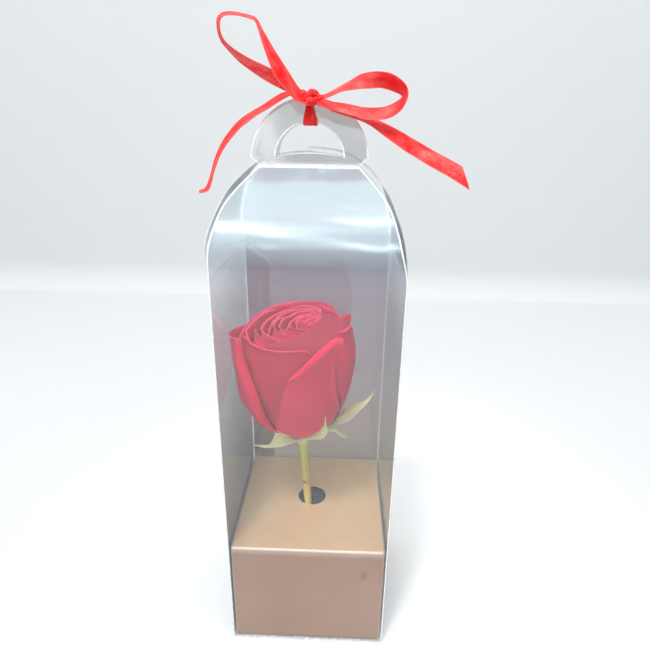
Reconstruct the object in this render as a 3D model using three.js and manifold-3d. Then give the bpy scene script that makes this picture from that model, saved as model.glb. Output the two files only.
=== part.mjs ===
// A cut rose standing in a tall clear gift carrier box: a folded clear-film box with an arched
// top and a ring handle, a foil card platform with a block of floral foam under it, one rose,
// and a narrow satin ribbon tied in a bow round the handle.
// Millimetres, +Z up, +Y to the back. The origin is the middle of the box's base.
import * as THREE from 'three';
import { mergeVertices } from 'three/addons/utils/BufferGeometryUtils.js';
import Module from 'manifold-3d';

// ---------------------------------------------------------------- driving dimensions
const BOX_W = 75;              // outside width and depth of the box
const BOX_D = 75;
const FILM = 0.4;              // thickness of the clear film
const GAP = 0.3;               // gap that touching pieces keep
const SIDE_TOP = 190;          // height of the flat side walls
const BEND_Z = 192;            // the front and back walls start to lean in here
const CREASE_Z = 229;          // crease between a wall and its handle plate
const CREASE_Y = 8;            // distance of that crease from the middle plane
const TOP_SHIFT = -1.2;        // the sprung top stands a little to the left
const HANDLE_R = 23.5;         // outer radius of the handle ring
const HANDLE_HOLE_R = 13.6;    // radius of its finger hole
const HANDLE_BASE = 3.0;       // height of the ring's centre over the crease, in the plate
const HANDLE_TOP_Y = 0.75;     // distance of the plates' tops from the middle plane
const CARD_TOP = 58;           // top of the card platform
const CARD_HALF = 36.5;        // half its outside width
const CARD = 0.5;              // thickness of the card
const HOLE_R = 7.5;            // the round hole in its top
const HOLE_Y = 2.4;            // how far behind the middle the hole is
const FOAM_HALF = 34;          // half width of the foam block
const FOAM_TOP = 56.2;
const RIBBON = 0.4;            // thickness the ribbon is given

// ---------------------------------------------------------------- helpers
const V = (x, y, z) => new THREE.Vector3(x, y, z);
const root = new THREE.Group();
const rad = Math.PI / 180;

const COLOURS = {
  film: [0xdfe6ea, 0.08, 0], card: [0xcfa88a, 0.35, 0.6], foam: [0x3d4a3c, 0.95, 0],
  stem: [0xa9b06a, 0.6, 0], sepal: [0xb4c48a, 0.6, 0], petal: [0xb3122c, 0.55, 0],
  ribbon: [0xd81f26, 0.4, 0],
};
function add(name, geometry, kind) {
  const [color, roughness, metalness] = COLOURS[kind];
  const m = new THREE.Mesh(geometry, new THREE.MeshStandardMaterial({ color, roughness, metalness }));
  if (kind === 'film') { m.material.transparent = true; m.material.opacity = 0.25; }
  m.name = name;
  root.add(m);
  return m;
}

// A closed solid of a sheet given by a grid of middle points, thick t. grid[j][i] is a Vector3.
function sheetSolid(grid, t) {
  const rows = grid.length, cols = grid[0].length;
  const at = (j, i) => grid[Math.min(Math.max(j, 0), rows - 1)][Math.min(Math.max(i, 0), cols - 1)];
  const top = [], bottom = [];
  for (let j = 0; j < rows; j++) for (let i = 0; i < cols; i++) {
    const du = at(j, i + 1).clone().sub(at(j, i - 1));
    const dv = at(j + 1, i).clone().sub(at(j - 1, i));
    const n = du.cross(dv).normalize().multiplyScalar(t / 2);
    top.push(at(j, i).clone().add(n));
    bottom.push(at(j, i).clone().sub(n));
  }
  const pos = [], idx = [];
  for (const p of top) pos.push(p.x, p.y, p.z);
  for (const p of bottom) pos.push(p.x, p.y, p.z);
  const T = (j, i) => j * cols + i, B = (j, i) => rows * cols + j * cols + i;
  const quad = (a, b, c, d) => { idx.push(a, b, c, a, c, d); };
  for (let j = 0; j < rows - 1; j++) for (let i = 0; i < cols - 1; i++) {
    quad(T(j, i), T(j, i + 1), T(j + 1, i + 1), T(j + 1, i));
    quad(B(j, i), B(j + 1, i), B(j + 1, i + 1), B(j, i + 1));
  }
  for (let i = 0; i < cols - 1; i++) {
    quad(T(0, i), B(0, i), B(0, i + 1), T(0, i + 1));
    quad(T(rows - 1, i), T(rows - 1, i + 1), B(rows - 1, i + 1), B(rows - 1, i));
  }
  for (let j = 0; j < rows - 1; j++) {
    quad(T(j, 0), T(j + 1, 0), B(j + 1, 0), B(j, 0));
    quad(T(j, cols - 1), B(j, cols - 1), B(j + 1, cols - 1), T(j + 1, cols - 1));
  }
  const g = new THREE.BufferGeometry();
  g.setAttribute('position', new THREE.Float32BufferAttribute(pos, 3));
  g.setIndex(idx);
  return g;
}
const box = (x0, x1, y0, y1, z0, z1) =>
  new THREE.BoxGeometry(x1 - x0, y1 - y0, z1 - z0).translate((x0 + x1) / 2, (y0 + y1) / 2, (z0 + z1) / 2);

const wasm = await Module();
wasm.setup();
function solid(geometry) {
  const g = geometry.clone();
  g.deleteAttribute('normal');
  g.deleteAttribute('uv');
  const m = mergeVertices(g, 1e-4);
  return new wasm.Manifold(new wasm.Mesh({
    numProp: 3,
    vertProperties: new Float32Array(m.attributes.position.array),
    triVerts: new Uint32Array(m.index.array),
  }));
}
function toGeometry(manifold) {
  const mesh = manifold.getMesh();
  const g = new THREE.BufferGeometry();
  g.setAttribute('position', new THREE.BufferAttribute(new Float32Array(mesh.vertProperties), 3));
  g.setIndex(new THREE.BufferAttribute(new Uint32Array(mesh.triVerts), 1));
  return g;
}
const smooth = (x, a, b) => { const t = Math.min(Math.max((x - a) / (b - a), 0), 1); return t * t * (3 - 2 * t); };
function table(rows, x) {        // straight-line look-up in [[x, y], ...]
  if (x <= rows[0][0]) return rows[0][1];
  for (let i = 1; i < rows.length; i++) if (x <= rows[i][0]) {
    const [a, b] = rows[i - 1], [c, d] = rows[i];
    return b + (d - b) * (x - a) / (c - a);
  }
  return rows[rows.length - 1][1];
}
const shift = (z) => TOP_SHIFT * smooth(z, 188, 203);

// ---------------------------------------------------------------- clear box
// Front and back walls: flat to BEND_Z, then one smooth bend towards the middle plane, with the
// arched outline cut on both sides up to the handle crease.
const ARCH = [[190, 37.5], [196, 36.9], [201.5, 36.1], [204.5, 35.4], [208, 34.4], [212, 33.1],
  [215.5, 31.5], [218.5, 29.5], [221.7, 26.8], [224.5, 24.1], [227.7, 20.9], [229, 19.6]];
const wallY = (z) => {
  const t = Math.max(0, (z - BEND_Z) / (CREASE_Z - BEND_Z));
  return BOX_D / 2 - FILM / 2 - (BOX_D / 2 - FILM / 2 - CREASE_Y) * t * t;
};
function wall(sign) {
  const grid = [];
  for (const z of [0, 95, 190, 192, 196, 200, 204, 208, 212, 215.5, 218.5, 221.7, 224.5, 226.8, CREASE_Z]) {
    const hw = table(ARCH, z), y = sign * wallY(z), s = shift(z);
    const a = V(-hw + s, y, z), b = V(hw + s, y, z);
    grid.push(sign < 0 ? [a, b] : [b, a]);
  }
  return sheetSolid(grid, FILM);
}
add('front_panel', wall(-1), 'film');
add('back_panel', wall(1), 'film');

// Side walls, between the front and the back one.
const SIDE_Y = BOX_D / 2 - FILM - GAP;
add('left_panel', box(-BOX_W / 2, -BOX_W / 2 + FILM, -SIDE_Y, SIDE_Y, 0, SIDE_TOP), 'film');
add('right_panel', box(BOX_W / 2 - FILM, BOX_W / 2, -SIDE_Y, SIDE_Y, 0, SIDE_TOP), 'film');

// Tongues: the side walls go on into springy flaps that bend in over the top, just outside the
// arched edges, and meet under the handle. [distance from the middle, height, half width in Y]
const TONGUE = [[37.3, 190.3, 36.5], [37.7, 196, 36.3], [37.5, 201, 34.9], [36.7, 205.5, 32.9],
  [35.6, 209.3, 30.4], [34.2, 213, 27.2], [32.0, 218.3, 21.8], [29.6, 222, 17.6],
  [26.2, 225.8, 12.2], [23.4, 228.4, 7.3]];
const TONGUE_TIP_RIGHT = [[20.7, 230.5, 6.5], [16.5, 232.9, 6.1], [11, 234.6, 5.6], [4, 235.5, 5.3], [-2.0, 235.7, 3.6]];
const TONGUE_TIP_LEFT = [[20.7, 230.2, 6.5], [16.3, 231.9, 6.1], [10.5, 233.2, 5.8], [3.5, 233.9, 5.5], [-2.5, 234.1, 3.8]];
function tongue(sign, rows) {
  const grid = rows.map(([x, z, w]) => {
    const a = V(sign * x + shift(z), -w, z), b = V(sign * x + shift(z), w, z);
    return sign > 0 ? [a, b] : [b, a];
  });
  return sheetSolid(grid, FILM);
}
add('left_tongue', tongue(-1, [...TONGUE, ...TONGUE_TIP_LEFT]), 'film');
add('right_tongue', tongue(1, [...TONGUE, ...TONGUE_TIP_RIGHT]), 'film');

// Handle plates: a half ring over a low bridge, leaning together at the top.
function handleShape() {
  const s = new THREE.Shape();
  s.moveTo(-20.4, GAP);
  s.lineTo(20.4, GAP);
  s.lineTo(HANDLE_R, HANDLE_BASE);
  s.absarc(0, HANDLE_BASE, HANDLE_R, 0, Math.PI, false);
  s.lineTo(-20.4, GAP);
  const h = new THREE.Path();
  const a0 = Math.asin(0.2 / HANDLE_HOLE_R);
  h.absarc(0, HANDLE_BASE, HANDLE_HOLE_R, a0, Math.PI - a0, false);
  h.quadraticCurveTo(0, 6.6, HANDLE_HOLE_R * Math.cos(a0), HANDLE_BASE + 0.2);
  s.holes.push(h);
  return s;
}
const HANDLE_H = HANDLE_BASE + HANDLE_R;
const HANDLE_LEAN = Math.asin((CREASE_Y - HANDLE_TOP_Y) / HANDLE_H);
function handle(sign) {
  const g = new THREE.ExtrudeGeometry(handleShape(), { depth: FILM, bevelEnabled: false, curveSegments: 28 });
  g.translate(0, 0, -FILM / 2);
  g.rotateX(Math.PI / 2);                       // plate upright, its thickness along Y
  g.rotateX(sign < 0 ? -HANDLE_LEAN : HANDLE_LEAN);
  g.translate(shift(CREASE_Z), sign * CREASE_Y, CREASE_Z + 0.1);
  return g;
}
add('handle_front', handle(-1), 'film');
add('handle_back', handle(1), 'film');

// Glue flap inside the back wall's left edge, bottom panel, and two dust flaps over it.
const IN = BOX_W / 2 - FILM - GAP;
const glue = new THREE.Shape();
glue.moveTo(-IN, 12); glue.lineTo(-IN + 12, 22); glue.lineTo(-IN + 12, 180); glue.lineTo(-IN, 188); glue.closePath();
add('glue_flap', new THREE.ExtrudeGeometry(glue, { depth: 0.3, bevelEnabled: false }).rotateX(Math.PI / 2)
  .translate(0, IN, 0), 'film');
add('bottom_panel', box(-IN, IN, -IN, IN, 0, FILM), 'film');
const DUST_Z = FILM + GAP;
function dust(sign) {
  const s = new THREE.Shape();
  s.moveTo(sign * (IN - 0.3), -IN + 1);
  s.lineTo(sign * (IN - 0.3), IN - 1);
  s.lineTo(sign * 8, IN - 9);
  s.lineTo(sign * 8, -IN + 9);
  s.closePath();
  return new THREE.ExtrudeGeometry(s, { depth: FILM, bevelEnabled: false }).translate(0, 0, DUST_Z);
}
add('dust_flap_left', dust(-1), 'film');
add('dust_flap_right', dust(1), 'film');

// ---------------------------------------------------------------- rose placement
// The stem stands in the front left of the hole, and the bloom leans a little left and forward.
const STEM_LOW = V(0.35, -2.0, 20);
const STEM_HOLE = V(-1.9, -2.6, 58);
const ROSE = V(-4.68, -3.89, 97.87);
const AXIS = V(-0.05, -0.06, 1).normalize();
const ROSE_X = V(1, 0, 0).sub(AXIS.clone().multiplyScalar(AXIS.x)).normalize();
const ROSE_Y = AXIS.clone().cross(ROSE_X);
const place = (x, y, z) => ROSE.clone().addScaledVector(ROSE_X, x).addScaledVector(ROSE_Y, y).addScaledVector(AXIS, z);

// A tapering round bar along three points, closed at both ends.
function bar(a, b, c, radii, sides = 12) {
  const curve = new THREE.QuadraticBezierCurve3(a, b.clone().multiplyScalar(2).sub(a.clone().add(c).multiplyScalar(0.5)), c);
  const pos = [], idx = [], n = radii.length;
  for (let j = 0; j < n; j++) {
    const t = j / (n - 1), p = curve.getPoint(t), d = curve.getTangent(t);
    const x = V(1, 0, 0).sub(d.clone().multiplyScalar(d.x)).normalize(), y = d.clone().cross(x);
    for (let i = 0; i < sides; i++) {
      const q = p.clone().addScaledVector(x, radii[j] * Math.cos(2 * Math.PI * i / sides))
        .addScaledVector(y, radii[j] * Math.sin(2 * Math.PI * i / sides));
      pos.push(q.x, q.y, q.z);
    }
  }
  const first = pos.length / 3; pos.push(a.x, a.y, a.z); pos.push(c.x, c.y, c.z);
  for (let j = 0; j < n - 1; j++) for (let i = 0; i < sides; i++) {
    const k = (i + 1) % sides, A = j * sides + i, B = j * sides + k, C = (j + 1) * sides + k, D = (j + 1) * sides + i;
    idx.push(A, B, C, A, C, D);
  }
  for (let i = 0; i < sides; i++) {
    const k = (i + 1) % sides;
    idx.push(first, k, i, first + 1, (n - 1) * sides + i, (n - 1) * sides + k);
  }
  const g = new THREE.BufferGeometry();
  g.setAttribute('position', new THREE.Float32BufferAttribute(pos, 3));
  g.setIndex(idx);
  return g;
}
const STEM_TOP = place(0, 0, -1.6);
add('stem', bar(STEM_LOW, STEM_HOLE, STEM_TOP, [1.95, 2.0, 2.0, 2.0, 2.0, 2.08, 2.24, 2.5, 2.85]), 'stem');

// Receptacle under the petals.
const hip = new THREE.LatheGeometry([[0, -1.3], [2.7, -1.3], [3.1, -0.3], [3.9, 1.2], [4.3, 2.6], [4.0, 3.6], [0, 3.6]]
  .map(([r, z]) => new THREE.Vector2(r, z)), 16);
hip.rotateX(Math.PI / 2);
hip.applyMatrix4(new THREE.Matrix4().makeBasis(ROSE_X, ROSE_Y, AXIS).setPosition(ROSE));
add('hip', hip, 'sepal');

// Card platform with a round hole, open underneath, and the foam block with the stem's hole.
const shell = solid(box(-CARD_HALF, CARD_HALF, -CARD_HALF, CARD_HALF - 0.4, 1.5, CARD_TOP))
  .subtract(solid(box(-CARD_HALF + CARD, CARD_HALF - CARD, -CARD_HALF + CARD, CARD_HALF - 0.4 - CARD, 0, CARD_TOP - CARD)))
  .subtract(solid(new THREE.CylinderGeometry(HOLE_R, HOLE_R, 10, 40).rotateX(Math.PI / 2).translate(0, HOLE_Y, CARD_TOP)));
add('card_platform', toGeometry(shell), 'card');
const stemHole = bar(
  STEM_LOW.clone().add(V(0, 0, -0.4)), STEM_HOLE, STEM_TOP, [2.4, 2.45, 2.45, 2.45, 2.45, 2.55, 2.7, 3.0, 3.4]);
const foam = solid(box(-FOAM_HALF, FOAM_HALF, -FOAM_HALF, FOAM_HALF, 1.5, FOAM_TOP)).subtract(solid(stemHole));
add('foam_block', toGeometry(foam), 'foam');

// ---------------------------------------------------------------- petals
// The petals lie on nested cups round the bloom's axis: a cone at the base, full in the middle.
// rho is a cup's radius and q how full it is low down (smaller is fuller). The smaller cups sit
// further right and back, which brings the heart of the bloom there.
const H_REF = 64;
const CENTRE_X = 9.4, CENTRE_Y = 10.0;
function cup(az, z, rho, q, lean = 0) {
  const t = Math.min(Math.max(z / H_REF, 0), 1);
  let r = rho * Math.pow(1 - Math.pow(1 - t, 2.3), q);
  r *= 1 - 0.58 * Math.pow(Math.min(Math.max(1 - z / 15, 0), 1), 1.35);
  r *= 1 - lean * smooth(z, 46, 66);
  const off = (1 - rho / 28.2) * z / H_REF;
  return place(CENTRE_X * off + r * Math.cos(az * rad), CENTRE_Y * off + 0.94 * r * Math.sin(az * rad), z);
}
const pick = (p, a) => (Array.isArray(p) ? table(p, a) : p);
const ROWS = [0, 0.08, 0.17, 0.3, 0.46, 0.63, 0.78, 0.9, 1];
// A petal between two margins [[z, azimuth], ...] and a top [[across, z], ...], across from -1 to 1.
function marginPetal(left, right, top, rho, q, z0, lean = 0, cols = 11) {
  return ROWS.map((v) => {
    const row = [];
    for (let i = 0; i < cols; i++) {
      const u = -1 + 2 * i / (cols - 1);
      const z = z0 + (table(top, u) - z0) * v;
      const a0 = table(left, z), a1 = table(right, z);
      const a = a0 + (a1 - a0) * (u + 1) / 2;
      row.push(cup(a, z, pick(rho, a), pick(q, a), pick(lean, a)));
    }
    return row;
  });
}
const petalName = (n) => `petal_${String(n).padStart(2, '0')}`;
const OUTER = [
  // front right, with a slanted top margin
  marginPetal(
    [[4.5, -141], [10, -134], [15, -126], [24.2, -112.8], [33.5, -104], [42.8, -97.5], [48, -93.6], [54, -92]],
    [[4.5, 2], [10, -3], [15, -8], [25, -24], [40.4, -40.2], [53, -47], [60, -47.5], [64, -44]],
    [[-1, 49.2], [-0.54, 54.7], [-0.08, 59.3], [0.415, 63.5], [0.69, 65.0], [1, 64.6]], 29.6, 0.62, 4.0),
  // left, bulging low down
  marginPetal(
    [[3.8, 168], [12, 160], [25, 150], [45, 142], [60, 140]],
    [[3.8, 207], [10, 220], [16, 229], [29.5, 240], [41, 240], [49, 236], [56.5, 230], [66, 228]],
    [[-1, 57.0], [-0.62, 59.6], [-0.3, 61.0], [0, 62.6], [0.3, 63.6], [0.6, 64.4], [1, 64.6]],
    [[140, 27.8], [178, 28.5], [205, 28.9], [224, 28.6], [250, 28.6]], [[140, 0.46], [200, 0.42], [225, 0.58], [250, 0.6]], 3.8),
  // right, its rim falling away to the back
  marginPetal(
    [[4.5, -58], [40, -58], [56, -54], [66, -50]], [[4.5, 40], [30, 50], [60, 50]],
    [[-1, 60.6], [-0.8, 63.6], [-0.6, 65.0], [-0.43, 65.4], [-0.27, 64.4], [-0.1, 61.2], [0.2, 57], [0.55, 53.8], [1, 51]],
    [[-62, 27.4], [-28, 28.0], [50, 28.0]], 0.64, 5.2),
  // back left
  marginPetal(
    [[4.8, 88], [30, 82], [62, 80]], [[4.8, 165], [30, 176], [62, 180]],
    [[-1, 66.6], [-0.72, 66.8], [-0.29, 66.0], [0.14, 64.2], [0.57, 61.4], [1, 57]], 27.0, 0.56, 4.8),
  // front left
  marginPetal(
    [[5, -160], [12, -148], [24.5, -139], [36, -140], [46, -143], [53, -146], [60, -143.5], [66, -141]],
    [[5, -66], [66, -60]],
    [[-1, 64.4], [-0.83, 64.2], [-0.64, 63.2], [-0.386, 62.8], [-0.135, 62.6], [0.16, 62.6], [0.41, 62.4], [0.6, 60.8], [0.77, 57.0], [1, 48]],
    27.0, 0.63, 5.0),
  // back right
  marginPetal(
    [[6, 26], [40, 10], [66, 4]], [[6, 108], [63, 114]],
    [[-1, 61.5], [-0.8, 64.6], [-0.55, 65.6], [-0.05, 66.6], [0.5, 66.6], [1, 65.4]], 25.4, 0.66, 6.0),
];
// The petal folded in over the right half of the bud, from the front lip to the heart.
const RIM = [[-21.5, -29.5, 157.5], [-16.2, -28.6, 159.8], [-10.7, -26.3, 160.6], [-5.1, -21.6, 161.0], [-1.8, -16.8, 161.3],
  [1.6, -11.0, 161.8], [4.0, -3.4, 162.6], [3.8, 3.0, 163.2], [2.6, 9.5, 163.6]]
  .map(([x, y, z]) => V(x - 0.18, y + 2.11, z - 1.13));
const rimCurve = new THREE.CatmullRomCurve3(RIM, false, 'centripetal');
const COVER_ROWS = [0, 0.12, 0.28, 0.48, 0.7, 0.85, 1];      // up the cup
const FOLD_ROWS = [0.25, 0.5, 0.75, 1];                      // from the cup in to the rim
function coverPetal(cols = 15) {
  const grid = [...COVER_ROWS, ...FOLD_ROWS].map(() => []);
  for (let i = 0; i < cols; i++) {
    const u = i / (cols - 1), az = -118 + 120 * u;
    const zb = 54 + 3 * smooth(2 * u - 1, -1, -0.4);
    COVER_ROWS.forEach((v, j) => grid[j].push(cup(az, 6.4 + (zb - 6.4) * v, 24.8, 0.66)));
    const b0 = cup(az, zb, 24.8, 0.66), b1 = cup(az, zb - 1, 24.8, 0.66);
    const rise = b0.clone().sub(b1).normalize();
    const end = rimCurve.getPoint(u);
    const across = end.clone().sub(b0);
    const span = across.length();
    across.addScaledVector(AXIS, -0.85 * across.dot(AXIS)).normalize();
    FOLD_ROWS.forEach((s, j) => {
      const p = b0.clone().multiplyScalar(2 * s ** 3 - 3 * s ** 2 + 1)
        .addScaledVector(rise, span * 1.1 * (s ** 3 - 2 * s ** 2 + s))
        .addScaledVector(end, -2 * s ** 3 + 3 * s ** 2)
        .addScaledVector(across, span * 0.9 * (s ** 3 - s ** 2));
      grid[COVER_ROWS.length + j].push(p);
    });
  }
  return grid;
}
OUTER.push(coverPetal());
OUTER.push(
  marginPetal([[6, 128], [62, 122]], [[6, 222], [62, 226]],
    [[-1, 63.8], [-0.4, 63.0], [0.1, 62.0], [0.5, 61.6], [1, 59.6]], 24.4, 0.62, 6.0),
  marginPetal([[7.5, 6], [62, 6]], [[7.5, 100], [62, 106]],
    [[-1, 60.5], [-0.5, 64.0], [0, 65.0], [0.5, 65.4], [1, 64.8]], 23.2, 0.68, 7.5),
);
OUTER.forEach((grid, n) => add(petalName(n + 1), sheetSolid(grid, 0.3), 'petal'));

// The inner spiral, a golden angle apart and ever tighter. Where a petal lies beyond the rim of
// the folded-in one, it stays under it.
const RIM_PTS = rimCurve.getPoints(60);
function underCover(p) {
  let k = 0, best = 1e9;
  RIM_PTS.forEach((q, i) => {
    const d = (p.x - q.x) ** 2 + (p.y - q.y) ** 2;
    if (d < best) { best = d; k = i; }
  });
  const a = RIM_PTS[Math.max(k - 1, 0)], b = RIM_PTS[Math.min(k + 1, RIM_PTS.length - 1)];
  const l = Math.hypot(b.x - a.x, b.y - a.y), tx = (b.x - a.x) / l, ty = (b.y - a.y) / l;
  const beyond = -(tx * (p.y - RIM_PTS[k].y) - ty * (p.x - RIM_PTS[k].x));
  const cap = Math.min(158.6, RIM_PTS[k].z - 1.6) - 0.1 * Math.min(Math.max(beyond, 0), 30) - 2.8 * smooth(beyond, 6, 16);
  const w = smooth(beyond, -2.2, 0.2);
  p.z = p.z * (1 - w) + Math.min(p.z, cap) * w;
  return p;
}
{
  let az = -100, rho = 22.3;
  for (let k = 0; k < 17; k++) {
    const hw = k < 7 ? 62 + 1.5 * k : Math.min(72 + (k - 7) * 7, 130);
    const cols = 13, z0 = 8 + 0.45 * k;
    const grid = [0, 0.12, 0.28, 0.5, 0.75, 1].map((v) => {
      const row = [];
      for (let i = 0; i < cols; i++) {
        const u = -1 + 2 * i / (cols - 1);
        const back = Math.max(0, Math.sin((az + u * hw) * rad));
        const top = 61.6 - 0.1 * k + 2.6 * back * (rho / 24) - 6 * Math.abs(u) ** 3.2 * Math.min(1, rho / 12);
        const z = z0 + (top - z0) * v;
        row.push(underCover(cup(az + u * hw * (0.42 + 0.58 * smooth(z, z0, z0 + 20)), z, rho, 0.7)));
      }
      return row;
    });
    add(petalName(10 + k), sheetSolid(grid, 0.28), 'petal');
    az += 137.5;
    rho -= k < 12 ? 1.28 : 1.12;
  }
}

// ---------------------------------------------------------------- sepals
// Each lies between its two edges, from the receptacle to the tip, given for the bloom before it
// is set back, and the direction in which it is thick.
const SET_BACK = V(-0.18, 2.11, -1.13);
const SEPALS = [
  [[[-7.3, -13.2, 101.5], [-12.1, -16.0, 101.3], [-19.2, -16.6, 100.4], [-23.4, -15.6, 99.9], [-27.4, -14.1, 99.7]],
    [[-10.6, -12.6, 107.0], [-15.5, -17.6, 111.1], [-19.4, -17.2, 102.7], [-23.4, -15.8, 101.1], [-27.6, -14.0, 100.1]]],
  [[[4.6, -10.6, 104.4], [11.0, -11.5, 111.5], [18.3, -11.2, 113.6], [24.9, -10.0, 120.3], [27.9, -9.4, 124.2], [30.2, -9.0, 129.1]],
    [[5.6, -7.2, 106.0], [11.4, -6.8, 112.2], [17.8, -6.0, 118.3], [22.7, -7.0, 120.8], [26.8, -8.0, 124.2], [29.9, -9.0, 129.4]]],
  [[[-1.2, -12.9, 103.0], [3.8, -18.2, 107.0], [7.6, -21.6, 111.6], [8.4, -22.6, 115.3], [7.8, -23.7, 119.2], [7.4, -24.7, 125.3]],
    [[-1.6, -13.1, 106.0], [2.7, -18.2, 110.9], [5.9, -22.1, 116.2], [6.9, -23.0, 118.2], [7.0, -24.0, 121.5], [7.0, -24.7, 125.4]]],
  [[[4.4, -10.0, 103.6], [8.2, -10.6, 106.5], [11.8, -10.6, 106.3], [14.5, -10.0, 103.6], [17.9, -9.0, 103.0]],
    [[5.6, -8.4, 106.6], [8.2, -9.0, 109.0], [11.0, -9.0, 109.1], [14.5, -8.8, 105.5], [17.9, -9.0, 103.4]]],
  [[[-6.2, 1.0, 101.0], [-6.0, 7.0, 102.4], [-4.0, 13.5, 106.0], [-1.0, 18.5, 110.0], [1.8, 22.0, 113.5]],
    [[0.2, 1.6, 101.4], [2.0, 7.6, 102.6], [3.2, 13.0, 105.8], [3.0, 18.0, 109.8], [2.2, 22.0, 113.5]]],
];
const STAND_OFF = [[-0.1, -1.5, -1.7], [0, 0, 0], [0, -2.0, -0.7], [0.2, 0, -1.3], [0, 0, 0]];   // clear of the petals
SEPALS.forEach(([e1, e2], n) => {
  const c1 = new THREE.CatmullRomCurve3(e1.map((q) => V(...q))), c2 = new THREE.CatmullRomCurve3(e2.map((q) => V(...q)));
  const grid = [];
  for (let j = 0; j <= 10; j++) {
    const a = c1.getPoint(j / 10), b = c2.getPoint(j / 10);
    const row = [a, a.clone().lerp(b, 0.5), b].map((p) => p.add(SET_BACK).add(V(...STAND_OFF[n])));
    grid.push(n === 4 ? row : row.reverse());
  }
  add(`sepal_${n + 1}`, sheetSolid(grid, 0.4), 'sepal');
});

// ---------------------------------------------------------------- ribbon
// Each run of the ribbon is given by its two edges, point by point.
const strip = (rows) => sheetSolid(rows.map(([a, b]) => [V(...a), V(...b)]), RIBBON);
const LOOP_LEFT = [
  [[-4.6, -6.6, 257.6], [-6.6, -8.2, 253.2]], [[-6.8, -5.8, 259.3], [-9.2, -9.0, 255.7]],
  [[-9.5, -5.2, 263.2], [-13.2, -8.6, 259.7]], [[-12.4, -4.0, 267.2], [-15.9, -8.4, 265.0]],
  [[-15.1, -2.8, 270.9], [-17.6, -8.0, 269.3]], [[-17.4, -1.9, 274.4], [-18.9, -7.5, 272.9]],
  [[-19.6, -1.1, 277.9], [-20.0, -7.2, 276.5]], [[-21.1, -0.6, 280.5], [-21.0, -6.8, 278.9]],
  [[-22.7, -0.2, 281.9], [-22.0, -6.4, 279.9]], [[-25.7, 0.2, 282.8], [-25.0, -6.0, 280.8]],
  [[-28.8, 0.6, 283.4], [-27.7, -5.6, 281.4]], [[-32.3, 0.9, 283.7], [-30.9, -5.3, 281.6]],
  [[-35.1, 1.1, 283.3], [-33.2, -5.0, 281.3]], [[-36.9, 1.2, 281.7], [-34.5, -4.8, 280.2]],
  [[-37.3, 1.3, 279.5], [-34.9, -4.7, 278.5]], [[-37.0, 1.2, 276.8], [-34.7, -4.8, 276.2]],
  [[-35.9, 1.0, 273.8], [-33.6, -4.9, 273.6]], [[-32.9, 0.6, 270.4], [-30.7, -5.1, 271.0]],
  [[-29.1, 0.0, 266.8], [-26.7, -5.3, 268.6]], [[-25.1, -0.7, 264.0], [-22.6, -5.5, 266.6]],
  [[-21.2, -1.4, 261.5], [-18.4, -5.6, 264.9]], [[-17.2, -2.0, 259.3], [-14.2, -5.6, 262.9]],
  [[-13.3, -2.4, 257.5], [-10.6, -5.2, 260.6]], [[-9.7, -2.9, 255.9], [-7.6, -5.0, 258.0]],
  [[-6.7, -3.4, 254.6], [-5.3, -5.2, 256.4]],
];
const LOOP_RIGHT = [
  [[3.9, -4.2, 255.0], [4.6, -7.6, 253.6]], [[6.8, -3.2, 256.3], [7.4, -7.6, 254.7]],
  [[10.3, -2.4, 258.3], [11.2, -7.4, 256.2]], [[14.2, -2.2, 260.3], [14.8, -6.8, 256.8]],
  [[18.0, -2.8, 262.4], [18.4, -5.8, 257.3]], [[21.7, -4.4, 263.2], [22.2, -4.2, 257.6]],
  [[25.7, -5.6, 263.3], [25.8, -3.4, 257.9]], [[29.5, -6.5, 262.6], [28.9, -3.5, 257.3]],
  [[32.9, -7.5, 260.8], [31.8, -3.5, 256.4]], [[35.2, -8.4, 258.6], [33.8, -3.6, 255.6]],
  [[36.1, -9.2, 256.2], [34.4, -4.2, 254.7]], [[35.7, -9.8, 253.2], [33.0, -4.8, 253.4]],
  [[33.8, -10.1, 249.9], [30.5, -5.6, 252.0]], [[30.2, -10.3, 247.3], [27.1, -6.2, 250.9]],
  [[25.7, -10.5, 246.3], [23.2, -6.5, 250.6]], [[21.1, -10.6, 246.3], [18.9, -6.8, 250.8]],
  [[16.8, -10.7, 247.3], [14.6, -7.0, 251.6]], [[12.7, -10.6, 248.4], [10.7, -7.2, 252.2]],
  [[8.7, -10.2, 249.3], [7.6, -7.4, 252.6]], [[5.2, -9.2, 250.4], [4.6, -7.6, 252.6]],
];
const TAIL_RIGHT = [
  [[4.4, -3.0, 252.0], [4.8, -6.2, 250.6]], [[7.0, -2.6, 251.5], [7.3, -6.6, 249.4]],
  [[9.9, -2.4, 251.0], [10.0, -7.2, 248.5]], [[13.7, -2.4, 250.1], [13.3, -7.6, 247.6]],
  [[17.7, -2.4, 248.9], [16.3, -7.8, 246.7]], [[22.1, -2.4, 247.5], [20.0, -7.8, 245.5]],
  [[26.5, -2.6, 245.9], [23.5, -7.8, 243.7]], [[30.9, -3.2, 244.0], [27.6, -7.9, 240.9]],
  [[35.3, -4.1, 241.9], [32.2, -8.1, 237.9]], [[39.6, -5.2, 239.6], [36.6, -8.6, 235.1]],
  [[44.0, -6.4, 237.3], [40.8, -9.6, 232.8]], [[48.3, -7.7, 235.0], [45.1, -10.7, 230.4]],
  [[52.5, -9.0, 233.0], [49.4, -11.8, 228.2]], [[56.4, -10.1, 231.0], [53.8, -13.1, 226.0]],
  [[58.9, -10.7, 229.7], [61.8, -14.5, 221.4]],
];
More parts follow.
